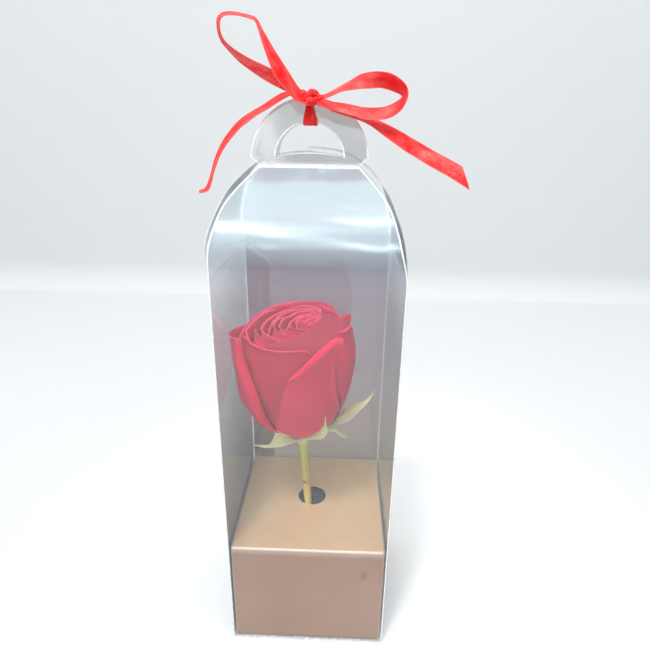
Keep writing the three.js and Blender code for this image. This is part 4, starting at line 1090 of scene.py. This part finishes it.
ring(np.column_stack([hub + hole * 0.985, np.full(M, CTOP - 0.12)]), 0.0, 1.0)
ring(np.column_stack([hub + hole * 0.985, np.full(M, CTOP - 0.42)]), 0.0, 1.0)
ring(np.column_stack([hub + hole * 1.0, np.full(M, CTOP - 0.5)]), 0.0, 1.0)
inner_out = outline - outward * 0.5
ring(np.column_stack([hub + hole * 1.5, np.full(M, CTOP - 0.62)]), 0.0, 1.0)
ring(np.column_stack([inner_out - outward * 0.7, np.full(M, CTOP - 0.5)]), 0.0, 1.0)
ring(np.column_stack([inner_out, np.full(M, CTOP - 1.2)]), 0.0, 1.0)
ring(np.column_stack([inner_out, np.full(M, 30.0)]), 0.0, 1.0)
ring(np.column_stack([inner_out, np.full(M, CBOT + 0.15)]), 0.0, 1.0)
ring(np.column_stack([inner_out + outward * 0.1, np.full(M, CBOT)]), 0.0, 1.0)
V = np.concatenate(rings)
fold_wear_and_highlight, paper_a = np.concatenate(fold), np.concatenate(paper)
nr = len(rings)
faces = []
for j in range(nr):
    jj = (j + 1) % nr
    for i in range(M):
        k = (i + 1) % M
        faces.append((j * M + i, j * M + k, jj * M + k, jj * M + i))
# the rubbed brown spot low on the front
spot = np.exp(-(((V[:, 0] - 26.6) / 1.5) ** 2 + ((V[:, 2] - 43.5) / 2.2) ** 2)) * (V[:, 1] < CY0 + 0.3)
make("foil_card_platform", V, faces, [CARD], ["card_platform"],
     attrs={"fold": fold_wear_and_highlight, "paper": paper_a, "spot": np.clip(spot * 1.3, 0, 1)})

# foam block: cut faces with a rough, pitted top
rng = np.random.default_rng(7)


def foam_block():
    n = 70
    xs = np.linspace(-34, 34, n)
    X, Y = np.meshgrid(xs, xs)
    base = rng.normal(size=(n, n))
    for _ in range(2):
        base = (base + np.roll(base, 1, 0) + np.roll(base, -1, 0) + np.roll(base, 1, 1) + np.roll(base, -1, 1)) / 5
    Zt = 55.7 + 0.5 * np.clip(base / base.std(), -1.6, 0.9) * 0.5
    d = np.hypot(X + 1.83, Y + 2.6)
    Zt = Zt - 1.2 * np.exp(-((d / 3.4) ** 2)) * (d > 2.0)
    top = np.stack([X, Y, Zt], -1)
    bot = np.stack([X, Y, np.full_like(X, 1.5)], -1)
    verts = np.concatenate([top.reshape(-1, 3), bot.reshape(-1, 3)])
    f = []
    for j in range(n - 1):
        for i in range(n - 1):
            a_, b_, c_, d_ = j * n + i, j * n + i + 1, (j + 1) * n + i + 1, (j + 1) * n + i
            f.append((a_, b_, c_, d_))
            f.append((n * n + d_, n * n + c_, n * n + b_, n * n + a_))
    ring_ = [(0, i) for i in range(n)] + [(j, n - 1) for j in range(1, n)] + [(n - 1, i) for i in range(n - 2, -1, -1)] + [(j, 0) for j in range(n - 2, 0, -1)]
    for q in range(len(ring_)):
        (j0, i0), (j1, i1) = ring_[q], ring_[(q + 1) % len(ring_)]
        f.append((n * n + j0 * n + i0, n * n + j1 * n + i1, j1 * n + i1, j0 * n + i0))
    return verts, f


v, f = foam_block()
make("floral_foam_block", v, f, [FOAM], ["foam_block"], flat=False)

# ------------------------------------------------------------------ ribbon
LOOP_LEFT = [
    [[-1.6, -7.4, 254.6], [-2.4, -9.0, 251.5]], [[-3.6, -7.3, 256.0], [-4.4, -9.3, 251.9]],
    [[-5.2, -7.0, 257.3], [-6.8, -9.4, 253.0]], [[-6.8, -5.8, 259.3], [-9.2, -9.0, 255.7]],
    [[-9.5, -5.2, 263.2], [-13.2, -8.6, 259.7]], [[-12.4, -4.0, 267.2], [-15.9, -8.4, 265.0]],
    [[-15.1, -2.8, 270.9], [-17.6, -8.0, 269.3]], [[-17.4, -1.9, 274.4], [-18.9, -7.5, 272.9]],
    [[-19.6, -1.1, 277.9], [-20.0, -7.2, 276.5]], [[-21.1, -0.6, 280.5], [-21.0, -6.8, 278.9]],
    [[-22.7, -0.2, 281.9], [-22.0, -6.4, 279.9]], [[-25.7, 0.2, 282.8], [-25.0, -6.0, 280.8]],
    [[-28.8, 0.6, 283.4], [-27.7, -5.6, 281.4]], [[-32.3, 0.9, 283.7], [-30.9, -5.3, 281.6]],
    [[-35.1, 1.1, 283.3], [-33.2, -5.0, 281.3]], [[-36.9, 1.2, 281.7], [-34.5, -4.8, 280.2]],
    [[-37.3, 1.3, 279.5], [-34.9, -4.7, 278.5]], [[-37.0, 1.2, 276.8], [-34.7, -4.8, 276.2]],
    [[-35.9, 1.0, 273.8], [-33.6, -4.9, 273.6]], [[-32.9, 0.6, 270.4], [-30.7, -5.1, 271.0]],
    [[-29.1, 0.0, 266.8], [-26.7, -5.3, 268.6]], [[-25.1, -0.7, 264.0], [-22.6, -5.5, 266.6]],
    [[-21.2, -1.4, 261.5], [-18.4, -5.6, 264.9]], [[-17.2, -2.0, 259.3], [-14.2, -5.6, 262.9]],
    [[-13.3, -2.4, 257.5], [-10.6, -5.2, 260.6]], [[-9.7, -2.9, 255.9], [-7.6, -5.0, 258.0]],
    [[-6.7, -3.4, 254.6], [-5.3, -5.2, 256.4]], [[-3.2, -4.6, 253.4], [-2.6, -6.2, 254.8]],
]
LOOP_RIGHT = [
    [[0.8, -5.2, 254.2], [1.2, -8.2, 253.0]],
    [[3.9, -4.2, 255.0], [4.6, -7.6, 253.6]], [[6.8, -3.2, 256.3], [7.4, -7.6, 254.7]],
    [[10.3, -2.4, 258.3], [11.2, -7.4, 256.2]], [[14.2, -2.2, 260.3], [14.8, -6.8, 256.8]],
    [[18.0, -2.8, 262.4], [18.4, -5.8, 257.3]], [[21.7, -4.4, 263.2], [22.2, -4.2, 257.6]],
    [[25.7, -5.6, 263.3], [25.8, -3.4, 257.9]], [[29.5, -6.5, 262.6], [28.9, -3.5, 257.3]],
    [[32.9, -7.5, 260.8], [31.8, -3.5, 256.4]], [[35.2, -8.4, 258.6], [33.8, -3.6, 255.6]],
    [[36.1, -9.2, 256.2], [34.4, -4.2, 254.7]], [[35.7, -9.8, 253.2], [33.0, -4.8, 253.4]],
    [[33.8, -10.1, 249.9], [30.5, -5.6, 252.0]], [[30.2, -10.3, 247.3], [27.1, -6.2, 250.9]],
    [[25.7, -10.5, 246.3], [23.2, -6.5, 250.6]], [[21.1, -10.6, 246.3], [18.9, -6.8, 250.8]],
    [[16.8, -10.7, 247.3], [14.6, -7.0, 251.6]], [[12.7, -10.6, 248.4], [10.7, -7.2, 252.2]],
    [[8.7, -10.5, 249.3], [8.2, -8.0, 252.4]], [[5.0, -10.0, 250.6], [4.8, -8.0, 253.4]],
    [[1.8, -9.4, 251.4], [1.4, -7.8, 253.6]],
]
TAIL_RIGHT = [
    [[1.5, -3.6, 252.4], [1.8, -6.4, 251.2]],
    [[4.4, -3.0, 252.0], [4.8, -6.2, 250.6]], [[7.0, -2.6, 251.5], [7.3, -6.6, 249.4]],
    [[9.9, -2.4, 251.0], [10.0, -7.2, 248.5]], [[13.7, -2.4, 250.1], [13.3, -7.6, 247.6]],
    [[17.7, -2.4, 248.9], [16.3, -7.8, 246.7]], [[22.1, -2.4, 247.5], [20.0, -7.8, 245.5]],
    [[26.5, -2.6, 245.9], [23.5, -7.8, 243.7]], [[30.9, -3.2, 244.0], [27.6, -7.9, 240.9]],
    [[35.3, -4.1, 241.9], [32.2, -8.1, 237.9]], [[39.6, -5.2, 239.6], [36.6, -8.6, 235.1]],
    [[44.0, -6.4, 237.3], [40.8, -9.6, 232.8]], [[48.3, -7.7, 235.0], [45.1, -10.7, 230.4]],
    [[52.5, -9.0, 233.0], [49.4, -11.8, 228.2]], [[56.4, -10.1, 231.0], [53.8, -13.1, 226.0]],
    [[58.9, -10.7, 229.7], [61.8, -14.5, 221.4]],
]
TAIL_LEFT = [
    [[-3.6, -0.6, 255.0], [-3.5, -3.4, 253.8]],
    [[-7.4, 0.6, 256.2], [-7.1, -2.2, 255.0]], [[-9.6, 1.0, 256.3], [-8.9, -2.8, 254.9]],
    [[-12.9, 1.1, 255.8], [-11.5, -4.2, 253.6]], [[-16.3, 0.7, 253.9], [-14.6, -5.1, 251.7]],
    [[-20.3, 0.4, 251.4], [-18.3, -5.6, 249.5]], [[-24.3, -0.2, 249.2], [-22.2, -6.2, 247.3]],
    [[-27.9, -1.0, 247.0], [-25.5, -6.8, 244.9]], [[-31.1, -1.8, 244.4], [-28.4, -7.6, 242.7]],
    [[-33.8, -2.5, 241.3], [-31.2, -8.5, 239.7]], [[-36.4, -3.2, 237.9], [-33.3, -9.2, 237.2]],
    [[-38.5, -3.8, 234.1], [-35.8, -10.0, 233.6]], [[-40.3, -4.4, 230.0], [-37.6, -10.6, 229.8]],
    [[-41.6, -4.9, 225.7], [-39.1, -11.1, 225.9]], [[-43.0, -5.3, 221.8], [-40.3, -11.5, 221.8]],
    [[-44.5, -5.7, 219.3], [-41.8, -11.9, 219.1]], [[-46.9, -6.1, 218.4], [-45.1, -12.3, 218.2]],
]


def ribbon_run(name, rails, node, glint=None, start_pinch=0.0, bow=0.25, seed=0, folds=None):
    """One run of ribbon between its two edges: finely woven, slightly crowned across, with thicker
    woven margins."""
    R = np.asarray(rails, float)
    n = (len(R) - 1) * 8 + 1
    a, b = spline(R[:, 0], n=n), spline(R[:, 1], n=n)
    nc = 19
    x = np.linspace(0, 1, nc)
    x = 0.5 - 0.5 * np.cos(np.pi * x) * (0.6 + 0.4 * np.abs(np.cos(np.pi * x)))
    x = (x - x[0]) / (x[-1] - x[0])
    S = a[:, None] * (1 - x)[None, :, None] + b[:, None] * x[None, :, None]
    N = normals(S)
    s = np.concatenate([[0], np.cumsum(np.linalg.norm(np.diff((a + b) / 2, axis=0), axis=1))])
    rng = np.random.default_rng(seed)
    crown = bow * (1 - (2 * x - 1) ** 2)
    ph = rng.random() * 6
    ripple = 0.10 * np.sin(s * 0.9 + ph)[:, None] * np.sin(np.pi * x)[None] + 0.06 * np.sin(s * 2.3 + 2 * ph)[:, None] * np.sin(2 * np.pi * x)[None]
    S = S + N * (crown[None] + ripple)[..., None]
    if folds is not None:
        S = S + N * folds(s, x)[..., None]
    width = np.linalg.norm(b - a, axis=1).mean()
    uvs = np.stack(np.broadcast_arrays((x * 6.3)[None], s[:, None]), -1)
    edge = smooth(np.abs(2 * x - 1), 0.84, 0.96)
    T = 0.20 + 0.14 * edge
    g = np.zeros((n, nc)) if glint is None else glint(s / s[-1], x)
    v, f, uv, at, rim_ = sheet_mesh(S, T[None] * np.ones((n, 1)), uvs=uvs, attrs={"edge": np.broadcast_to(edge[None], (n, nc)), "glint": g})
    return make(name, v, f, [RIBBON], [node], uv=uv, attrs=at)


# painted highlights: marks the stretch of a run whose satin colour gets painted glints and sheen
def band_glint(lo, hi, lowx=0.0, highx=1.0):
    return lambda s, x: (smooth(s, lo - 0.06, lo) * (1 - smooth(s, hi, hi + 0.06)))[:, None] * (smooth(x, lowx - 0.1, lowx) * (1 - smooth(x, highx, highx + 0.1)))[None]


ribbon_run("bow_loop_left", LOOP_LEFT, "ribbon_loop_left", band_glint(0.66, 0.92), seed=1)
ribbon_run("bow_loop_right", LOOP_RIGHT, "ribbon_loop_right", lambda s, x: band_glint(0.14, 0.30)(s, x) + band_glint(0.62, 0.86)(s, x), seed=2)
ribbon_run("bow_tail_right", TAIL_RIGHT, "ribbon_tail_right", band_glint(0.72, 0.96), seed=3)
ribbon_run("bow_tail_left", TAIL_LEFT, "ribbon_tail_left", seed=4)

# the knot: soft gathered folds of ribbon pressed against each other
def lump(name, centre, axes, turn, pleats=7, depth=0.10, seed=0):
    """One bulging fold: an ellipsoid with pleats that run along its first axis."""
    nu_, nv_ = 64, 40
    th = np.linspace(0, 2 * np.pi, nu_, endpoint=False)
    ph = np.linspace(0.0, np.pi, nv_)[1:-1]
    TH, PH = np.meshgrid(th, ph)
    rng = np.random.default_rng(seed)
    p0, p1 = rng.random(2) * 6
    r = 1 + depth * np.sin(pleats * TH + p0 + 0.8 * np.cos(PH)) * np.sin(PH) ** 1.5
    r = r + 0.4 * depth * np.sin((2 * pleats + 1) * TH + p1) * np.sin(PH) ** 1.5
    L = np.stack([np.cos(PH) * axes[0], r * np.sin(PH) * np.cos(TH) * axes[1], r * np.sin(PH) * np.sin(TH) * axes[2]], -1)
    Rm = np.array(Matrix.Rotation(math.radians(turn[0]), 3, "Y") @ Matrix.Rotation(math.radians(turn[1]), 3, "Z"))
    c = arr(*centre)
    P = c + L @ Rm.T
    nn = len(ph)
    verts = np.concatenate([P.reshape(-1, 3), [c + Rm @ arr(axes[0], 0, 0)], [c - Rm @ arr(axes[0], 0, 0)]])
    f = []
    for j in range(nn - 1):
        for i in range(nu_):
            k = (i + 1) % nu_
            f.append((j * nu_ + i, j * nu_ + k, (j + 1) * nu_ + k, (j + 1) * nu_ + i))
    a_, b_ = len(verts) - 2, len(verts) - 1
    for i in range(nu_):
        k = (i + 1) % nu_
        f.append((a_, k, i))
        f.append((b_, (nn - 1) * nu_ + i, (nn - 1) * nu_ + k))
    uv_ = np.concatenate([np.stack([TH.ravel() * 1.0, PH.ravel() * 2], -1), [[0, 0]], [[0, 6]]])
    # painted glints and sheen over the whole knot
    g = np.full(len(verts), 0.6)
    return make(name, verts, f, [RIBBON], ["ribbon_knot"], uv=uv_, attrs={"edge": np.zeros(len(verts)), "glint": g})


lump("bow_knot_core", (-0.8, -5.6, 253.8), (3.6, 2.6, 2.6), (10, 0), 9, 0.08, 1)
lump("bow_knot_fold_front", (-1.0, -8.1, 252.5), (2.0, 1.6, 1.45), (-20, 0), 6, 0.10, 2)
lump("bow_knot_fold_right", (2.0, -7.2, 253.6), (2.5, 1.7, 1.25), (-22, 0), 6, 0.10, 3)
lump("bow_knot_fold_top", (0.5, -6.8, 255.6), (2.3, 1.9, 1.25), (24, 0), 6, 0.10, 4)
lump("bow_knot_fold_left", (-3.3, -7.2, 254.3), (1.5, 1.9, 2.3), (-12, 0), 6, 0.10, 5)


# the band from the knot round both handle plates: narrow and gathered above, spread below
def band():
    path = [[-1.78, 255.4], [-2.9, 251.6], [-3.95, 248.0], [-4.42, 245.9], [-4.1, 244.35], [-2.0, 244.0], [0, 243.95],
            [2.0, 244.0], [4.1, 244.35], [4.42, 245.9], [3.95, 248.0], [2.9, 251.6], [1.78, 255.4], [0.0, 256.2]]
    P2 = np.array(path + [path[0]])
    c = spline(P2, n=112)[:-1]
    d = unit(np.gradient(np.concatenate([c[-1:], c, c[:1]]), axis=0)[1:-1])
    nrm2 = np.column_stack([d[:, 1], -d[:, 0]])
    if (nrm2 * (c - arr(0, 250))).sum() < 0:
        nrm2 = -nrm2
    nc = 21
    x = np.linspace(-1, 1, nc)
    n = len(c)
    half = 1.3 + 1.4 * smooth(-c[:, 1], -252, -245.3) ** 1.1
    mid = -1.55 + 0.4 * smooth(-c[:, 1], -252, -245.3)
    pleat = 0.22 * np.cos(x * 7.5 + 0.6) + 0.12 * np.sin(x * 15)
    S = np.zeros((nc, n, 3))
    for j in range(n):
        depth = (1 - smooth(-c[j, 1], -254, -246.5)) * 0.9 + 0.25
        off = pleat * depth
        S[:, j, 0] = mid[j] + x * half[j]
        S[:, j, 1] = c[j, 0] + nrm2[j, 0] * off
        S[:, j, 2] = c[j, 1] + nrm2[j, 1] * off
    uvs = np.stack(np.broadcast_arrays(((x + 1) * 3.15)[:, None], (np.arange(n) * 0.3)[None, :]), -1)
    edge = np.broadcast_to(smooth(np.abs(x), 0.84, 0.98)[:, None], (nc, n))
    v_, f_, uv_, at_, _ = sheet_mesh(S, 0.24, uvs=uvs, attrs={"edge": edge, "glint": np.zeros((nc, n))}, loop=True)
    return make("bow_band", v_, f_, [RIBBON], ["ribbon_band"], uv=uv_, attrs=at_)


band()

# ------------------------------------------------------------------ clear box
BOX, FILM_T = 75.0, 0.4
ARCH = [[190, 37.5], [196, 36.9], [201.5, 36.1], [204.5, 35.4], [208, 34.4], [212, 33.1], [215.5, 31.5],
        [218.5, 29.5], [221.7, 26.8], [224.5, 24.1], [227.7, 20.9], [229, 19.6]]


def shift(z):
    return -1.2 * smooth(z, 188, 203)


def wall_y(z):
    t = np.clip((np.asarray(z, float) - 192) / 37, 0, None)
    return 37.3 - 29.3 * t**2


def with_bands(lo, hi, band, inner):
    """Even places from lo to hi with a narrow band kept at each end."""
    return np.concatenate([[lo, lo + band * 0.5, lo + band], np.linspace(lo + band, hi - band, inner)[1:-1], [hi - band, hi - band * 0.5, hi]])


def film_piece(name, P, node, film, edge_cols=0, edge_rows=(0, 0), crease_rows=(), edge=None, thick=FILM_T, dark=0, white_from=None):
    """A film panel from its middle surface. The rim and the marked outer strips show the cut edge,
    and marked rows or columns show a crease, both as pale bands that are partly a painted highlight."""
    R, C, _ = P.shape
    v, f, uv, at, onrim = sheet_mesh(P, thick, rim=0.25)
    mat = np.zeros(len(f), int)
    k = 0
    for j in range(R - 1):
        for i in range(C - 1):
            m_ = 0
            if i < edge_cols or i >= C - 1 - edge_cols or j < edge_rows[0] or j >= R - 1 - edge_rows[1]:
                m_ = 1
            if j in crease_rows:
                m_ = 2
            if dark and m_ == 0 and (i < edge_cols + dark or i >= C - 1 - edge_cols - dark):
                m_ = 3
            # painted highlight: rows from white_from on get the full white edge band
            if white_from is not None and m_ == 1 and j >= white_from:
                m_ = 4
            mat[k] = mat[k + 1] = m_
            k += 2
    mat[k:] = 1
    return make(name, v, f, [film, edge or EDGE_HIGHLIGHT, CREASE_HIGHLIGHT, DARK, EDGE_HIGHLIGHT], [node], fmat=mat, uv=uv, attrs=at)


def wall_piece(sign, name, node, film):
    zs = np.concatenate([[0, 0.4, 0.8], np.linspace(0.8, 188.6, 60)[1:], [189.4, 190.0, 190.5], np.linspace(190.5, 228.1, 62)[1:], [228.6, 229.0]])
    hw = table(ARCH, zs)
    cols = 44
    P = np.zeros((len(zs), cols, 3))
    for j, z in enumerate(zs):
        xs = with_bands(-hw[j], hw[j], 0.52 if z > 190 else 0.46, cols - 4)
        up = float(smooth(z, 150, 215))
        y = wall_y(z)
        bulge = 0.16 * up * np.sin(np.pi * (xs / 37.5 + 1) / 2) * math.sin(0.115 * z + 0.4) * (1 - float(smooth(z, 222, 229)))
        bulge = bulge + 0.06 * up * np.sin(xs * 0.21 + z * 0.13) * (1 - float(smooth(z, 222, 229)))
        fade = 1 - smooth(np.abs(xs), hw[j] - 6, hw[j])
        lowwave = 0.10 * np.sin(xs * 0.13 + 1.0) * np.sin(z * 0.045) * float(smooth(z, 2, 20))
        P[j, :, 0] = xs + shift(z)
        P[j, :, 1] = sign * (y - np.maximum(0, (bulge + lowwave) * fade * 0.6 + 0.15 * fade * up))
        P[j, :, 2] = z
    if sign > 0:
        P = P[:, ::-1]
    nz = len(zs)
    return film_piece(name, P, node, film, 2, (2, 2), (), EDGE_FOLD_HIGHLIGHT if sign < 0 else EDGE_FAINT_HIGHLIGHT)


wall_piece(-1, "box_front", "front_panel", FILM_FRONT)
wall_piece(1, "box_back", "back_panel", FILM_BACK)


def side_piece(sign, name, node, film):
    zs = np.concatenate([[0, 0.4, 0.8], np.linspace(0.8, 189.2, 50)[1:], [189.6, 190.0]])
    ys = with_bands(-36.8, 36.8, 0.5, 30)
    P = np.zeros((len(zs), len(ys), 3))
    for j, z in enumerate(zs):
        wav = 0.18 * np.sin(ys * 0.11 + 0.7) * math.sin(z * 0.035 + 0.4) * (1 - smooth(np.abs(ys), 30, 36.8))
        P[j, :, 0] = sign * (37.3 - np.maximum(0, wav) * float(smooth(z, 2, 20)))
        P[j, :, 1] = ys
        P[j, :, 2] = z
    if sign < 0:
        P = P[:, ::-1]
    return film_piece(name, P, node, film, 2, (2, 0), (), EDGE_SOFT_HIGHLIGHT)


side_piece(-1, "box_left", "left_panel", FILM_LEFT)
side_piece(1, "box_right", "right_panel", FILM_RIGHT)

TONGUE = [[37.3, 190.3, 36.5], [37.7, 196, 36.3], [37.5, 201, 34.9], [36.7, 205.5, 32.9], [35.6, 209.3, 30.4],
          [34.2, 213, 27.2], [32.0, 218.3, 21.8], [29.6, 222, 17.6], [26.2, 225.8, 12.2], [23.4, 228.4, 7.3]]
TIP_RIGHT = [[20.7, 230.5, 6.5], [16.5, 232.9, 6.1], [11, 234.6, 5.6], [4, 235.5, 5.3], [-2.0, 235.7, 3.6]]
TIP_LEFT = [[20.7, 230.2, 6.5], [16.3, 231.9, 6.1], [10.5, 233.2, 5.8], [3.5, 233.9, 5.5], [-2.5, 234.1, 3.8]]


def tongue_piece(sign, tip, name, node):
    c = spline(np.array(TONGUE + tip), n=97)
    cols = 34
    P = np.zeros((len(c), cols, 3))
    for j, (x, z, w) in enumerate(c):
        ys = with_bands(-w, w, min(0.55, w / 6), cols - 4)
        P[j, :, 0] = sign * x + shift(z)
        P[j, :, 1] = ys
        P[j, :, 2] = z
    if sign < 0:
        P = P[:, ::-1]
    # painted highlight: the tip rows above the crease get the white edge band
    first = int(np.argmax(c[:, 1] > 229.5))
    return film_piece(name, P, node, FILM_TOP, 2, (0, 2), (), EDGE_SOFT_HIGHLIGHT, white_from=first)


tongue_piece(-1, TIP_LEFT, "box_tongue_left", "left_tongue")
tongue_piece(1, TIP_RIGHT, "box_tongue_right", "right_tongue")

# handle plates: rings built between the outer outline and the finger hole
HR, HH, HB = 23.5, 13.6, 3.0
LEAN = math.asin((8 - 0.75) / (HB + HR))


def handle_piece(sign, name, node):
    # matched points round the outline and the hole, from the lower right, over the top, to the
    # lower left, and back along the bridge
    top_n, low_n = 96, 40
    a = np.linspace(0, np.pi, top_n)
    outer = [(HR * math.cos(t), HB + HR * math.sin(t)) for t in a]
    inner = [(HH * math.cos(t), HB + 0.2 + (HH - 0.2) * math.sin(t)) for t in a]
    s_ = np.linspace(0, 1, low_n)[1:-1]
    foot = [(-HR, HB), (-20.4, 0.3), (20.4, 0.3), (HR, HB)]
    fl = np.array(foot)
    seg = np.linalg.norm(np.diff(fl, axis=0), axis=1)
    cum = np.concatenate([[0], np.cumsum(seg)]) / seg.sum()
    for t in s_:
        outer.append((np.interp(t, cum, fl[:, 0]), np.interp(t, cum, fl[:, 1])))
        x = -HH + 2 * HH * t
        inner.append((x, HB + 0.2 + 2 * (6.6 - HB - 0.2) * t * (1 - t)))
    O, I = np.array(outer), np.array(inner)
    k = np.array([0, 0.05, 0.10, 0.3, 0.5, 0.7, 0.90, 0.95, 1.0])
    G = O[None] * (1 - k)[:, None, None] + I[None] * k[:, None, None]       # rows from outline to hole
    X, Hh = G[..., 0], G[..., 1]
    bow = 0.25 * np.cos(X / 23.5 * 1.4) * np.sin(np.clip(Hh, 0, 26.5) / 26.5 * np.pi)
    y = sign * (8 - Hh * math.sin(LEAN)) + sign * bow * 0.0
    z = 229.1 + Hh * math.cos(LEAN)
    P = np.stack([X + shift(229.0), y, z], -1)
    if sign > 0:
        P = P[::-1]
    v, f, uv, at, onrim = sheet_mesh(P, FILM_T, rim=0.25, loop=True)
    mat = np.zeros(len(f), int)
    R_, C_ = P.shape[:2]
    q = 0
    for j in range(R_ - 1):
        for i in range(C_):
            # painted highlight: the outer and inner rim rows get the pale edge band
            m_ = 1 if j in (0, R_ - 2) else 0
            mat[q] = mat[q + 1] = m_
            q += 2
    mat[q:] = 1
    return make(name, v, f, [FILM_HANDLE, EDGE_HIGHLIGHT, CREASE_HIGHLIGHT], [node], fmat=mat, uv=uv, attrs=at)


handle_piece(-1, "box_handle_front", "handle_front")
handle_piece(1, "box_handle_back", "handle_back")


def flat_film(name, node, corners, normal_shift, film, n=24, thick=0.3, edge=None):
    """A flat flap between four corners, in order round it."""
    c = np.array(corners, float)
    us = with_bands(0, 1, 0.03, n)
    P = np.zeros((len(us), len(us), 3))
    for j, v_ in enumerate(us):
        for i, u_ in enumerate(us):
            P[j, i] = (1 - u_) * (1 - v_) * c[0] + u_ * (1 - v_) * c[1] + u_ * v_ * c[2] + (1 - u_) * v_ * c[3]
    return film_piece(name, P, node, film, 1, (1, 1), edge=edge, thick=thick)


IN = 36.8
flat_film("box_glue_flap", "glue_flap", [(-IN, IN - 0.15, 12), (-IN + 12, IN - 0.15, 22), (-IN + 12, IN - 0.15, 180), (-IN, IN - 0.15, 188)], 0, FILM_FLAP, 40, edge=EDGE_FAINT_HIGHLIGHT)
flat_film("box_bottom", "bottom_panel", [(-IN, -IN, 0.2), (IN, -IN, 0.2), (IN, IN, 0.2), (-IN, IN, 0.2)], 0, FILM_BOTTOM, 24, 0.4)
for sgn, nm in ((-1, "left"), (1, "right")):
    cs = [(sgn * (IN - 0.3), -IN + 1, 0.9), (sgn * 8, -IN + 9, 0.9), (sgn * 8, IN - 9, 0.9), (sgn * (IN - 0.3), IN - 1, 0.9)]
    if sgn > 0:
        cs = cs[::-1]
    flat_film(f"box_dust_flap_{nm}", f"dust_flap_{nm}", cs, 0, FILM_BOTTOM, 20, 0.4)

# ------------------------------------------------------------------ table, wall, lights
def stage_mesh(name, verts, faces, mat):
    me = bpy.data.meshes.new(name)
    me.from_pydata([Vector(v) * MM for v in verts], [], faces)
    me.materials.append(mat)
    for p in me.polygons:
        p.use_smooth = True
    o = bpy.data.objects.new(name, me)
    scene.collection.objects.link(o)
    return o


def stage_material(name, color, rough=0.6):
    t = Tree(name)
    n = t.noise(t.obj(), 4, 3, 0.5)
    c = t.mix(t.ramp(n, 0.3, 0.7), color, tuple(min(1.0, x * 1.015) for x in color))
    return t.done(t.principled(c, rough).outputs[0])


TABLE = stage_material("table_white", (0.775, 0.775, 0.782), 0.5)
WALL = stage_material("wall_grey", (0.80, 0.81, 0.82), 0.8)
# table top, and a wall behind it that meets it in a soft cove
zs = []
path = [(-1600, 0.0), (520, 0.0)]
cove = [(520 + 40 * math.sin(a), 40 - 40 * math.cos(a)) for a in np.linspace(0, math.pi / 2, 9)[1:]]
verts, faces = [], []
for y, z in path:
    verts += [(-2200, y, z), (2200, y, z)]
faces.append((0, 1, 3, 2))
stage_mesh("table_top", verts, faces, TABLE)
verts, faces = [], []
for y, z in [(520, 0.0)] + cove + [(560, 1600)]:
    verts += [(-2200, y, z), (2200, y, z)]
for i in range(len(verts) // 2 - 1):
    faces.append((2 * i, 2 * i + 1, 2 * i + 3, 2 * i + 2))
stage_mesh("wall_back", verts, faces, WALL)

world = bpy.data.worlds.new("world")
scene.world = world
world.use_nodes = True
wn = world.node_tree
bg = wn.nodes["Background"]
bg.inputs["Color"].default_value = (0.93, 0.96, 1.0, 1)
bg.inputs["Strength"].default_value = 0.43


def area(name, pos, target, size, power, color=(1, 1, 1), size_y=None, spread=180):
    d = bpy.data.lights.new(name, "AREA")
    d.shape = "RECTANGLE"
    d.size = size * MM
    d.size_y = (size_y or size) * MM
    d.energy = power
    d.color = color
    d.spread = math.radians(spread)
    o = bpy.data.objects.new(name, d)
    scene.collection.objects.link(o)
    o.location = Vector(pos) * MM
    o.rotation_mode = "QUATERNION"
    o.rotation_quaternion = (Vector(target) - Vector(pos)).to_track_quat("-Z", "Y")
    return o


area("ceiling", (0, -100, 1500), (0, -60, 100), 1800, 19.5, (1.0, 0.99, 0.975), 1600)
# two long soft boxes in front of and above the box, whose streaks show on the curved top


def strip(name, p, q, width, power, target=(0, 0, 200), color=(0.96, 0.98, 1.0)):
    p, q = arr(*p), arr(*q)
    mid = (p + q) / 2
    o = area(name, mid, target, np.linalg.norm(q - p), power, color, width)
    along = Vector(unit(q - p))
    back = (Vector(mid) - Vector(target)).normalized()
    up = back.cross(along).normalized()
    along = up.cross(back).normalized()
    o.rotation_quaternion = Matrix((along, up, back)).transposed().to_quaternion()
    return o


CYAN = (0.88, 0.98, 1.0)
strip("softbox_long_left", (-345, -609, 1334), (-130, -826, 1145), 120, 1.45, color=CYAN)
strip("softbox_long_mid", (-130, -826, 1145), (30, -988, 1004), 70, 0.22, color=CYAN)
strip("softbox_long_right", (30, -988, 1004), (185, -1145, 867), 90, 0.85, color=CYAN)
strip("softbox_short", (10, -445, 1438), (180, -585, 1378), 80, 0.62, color=CYAN)
strip("softbox_wide", (-420, -690, 1290), (180, -1010, 1010), 560, 2.3, color=(0.80, 0.96, 1.0))
strip("softbox_left", (-215, -1010, 835), (-165, -1010, 850), 170, 0.22, (-16, 0, 240))

lamp = bpy.data.lights.new("lamp_over", "SPOT")
lamp.energy = 50.0
lamp.spot_size = math.radians(13)
lamp.spot_blend = 1.0
lamp.shadow_soft_size = 0.11
lamp_o = bpy.data.objects.new("lamp_over", lamp)
scene.collection.objects.link(lamp_o)
lamp_o.location = Vector((-230, -480, 1250)) * MM
lamp_o.visible_glossy = False
lamp_o.rotation_mode = "QUATERNION"
lamp_o.rotation_quaternion = (Vector((0, 0, 120)) - Vector((-230, -480, 1250))).to_track_quat("-Z", "Y")

scene.view_settings.view_transform = "Standard"
scene.view_settings.look = "None"
scene.cycles.transparent_max_bounces = 40
scene.cycles.max_bounces = 12
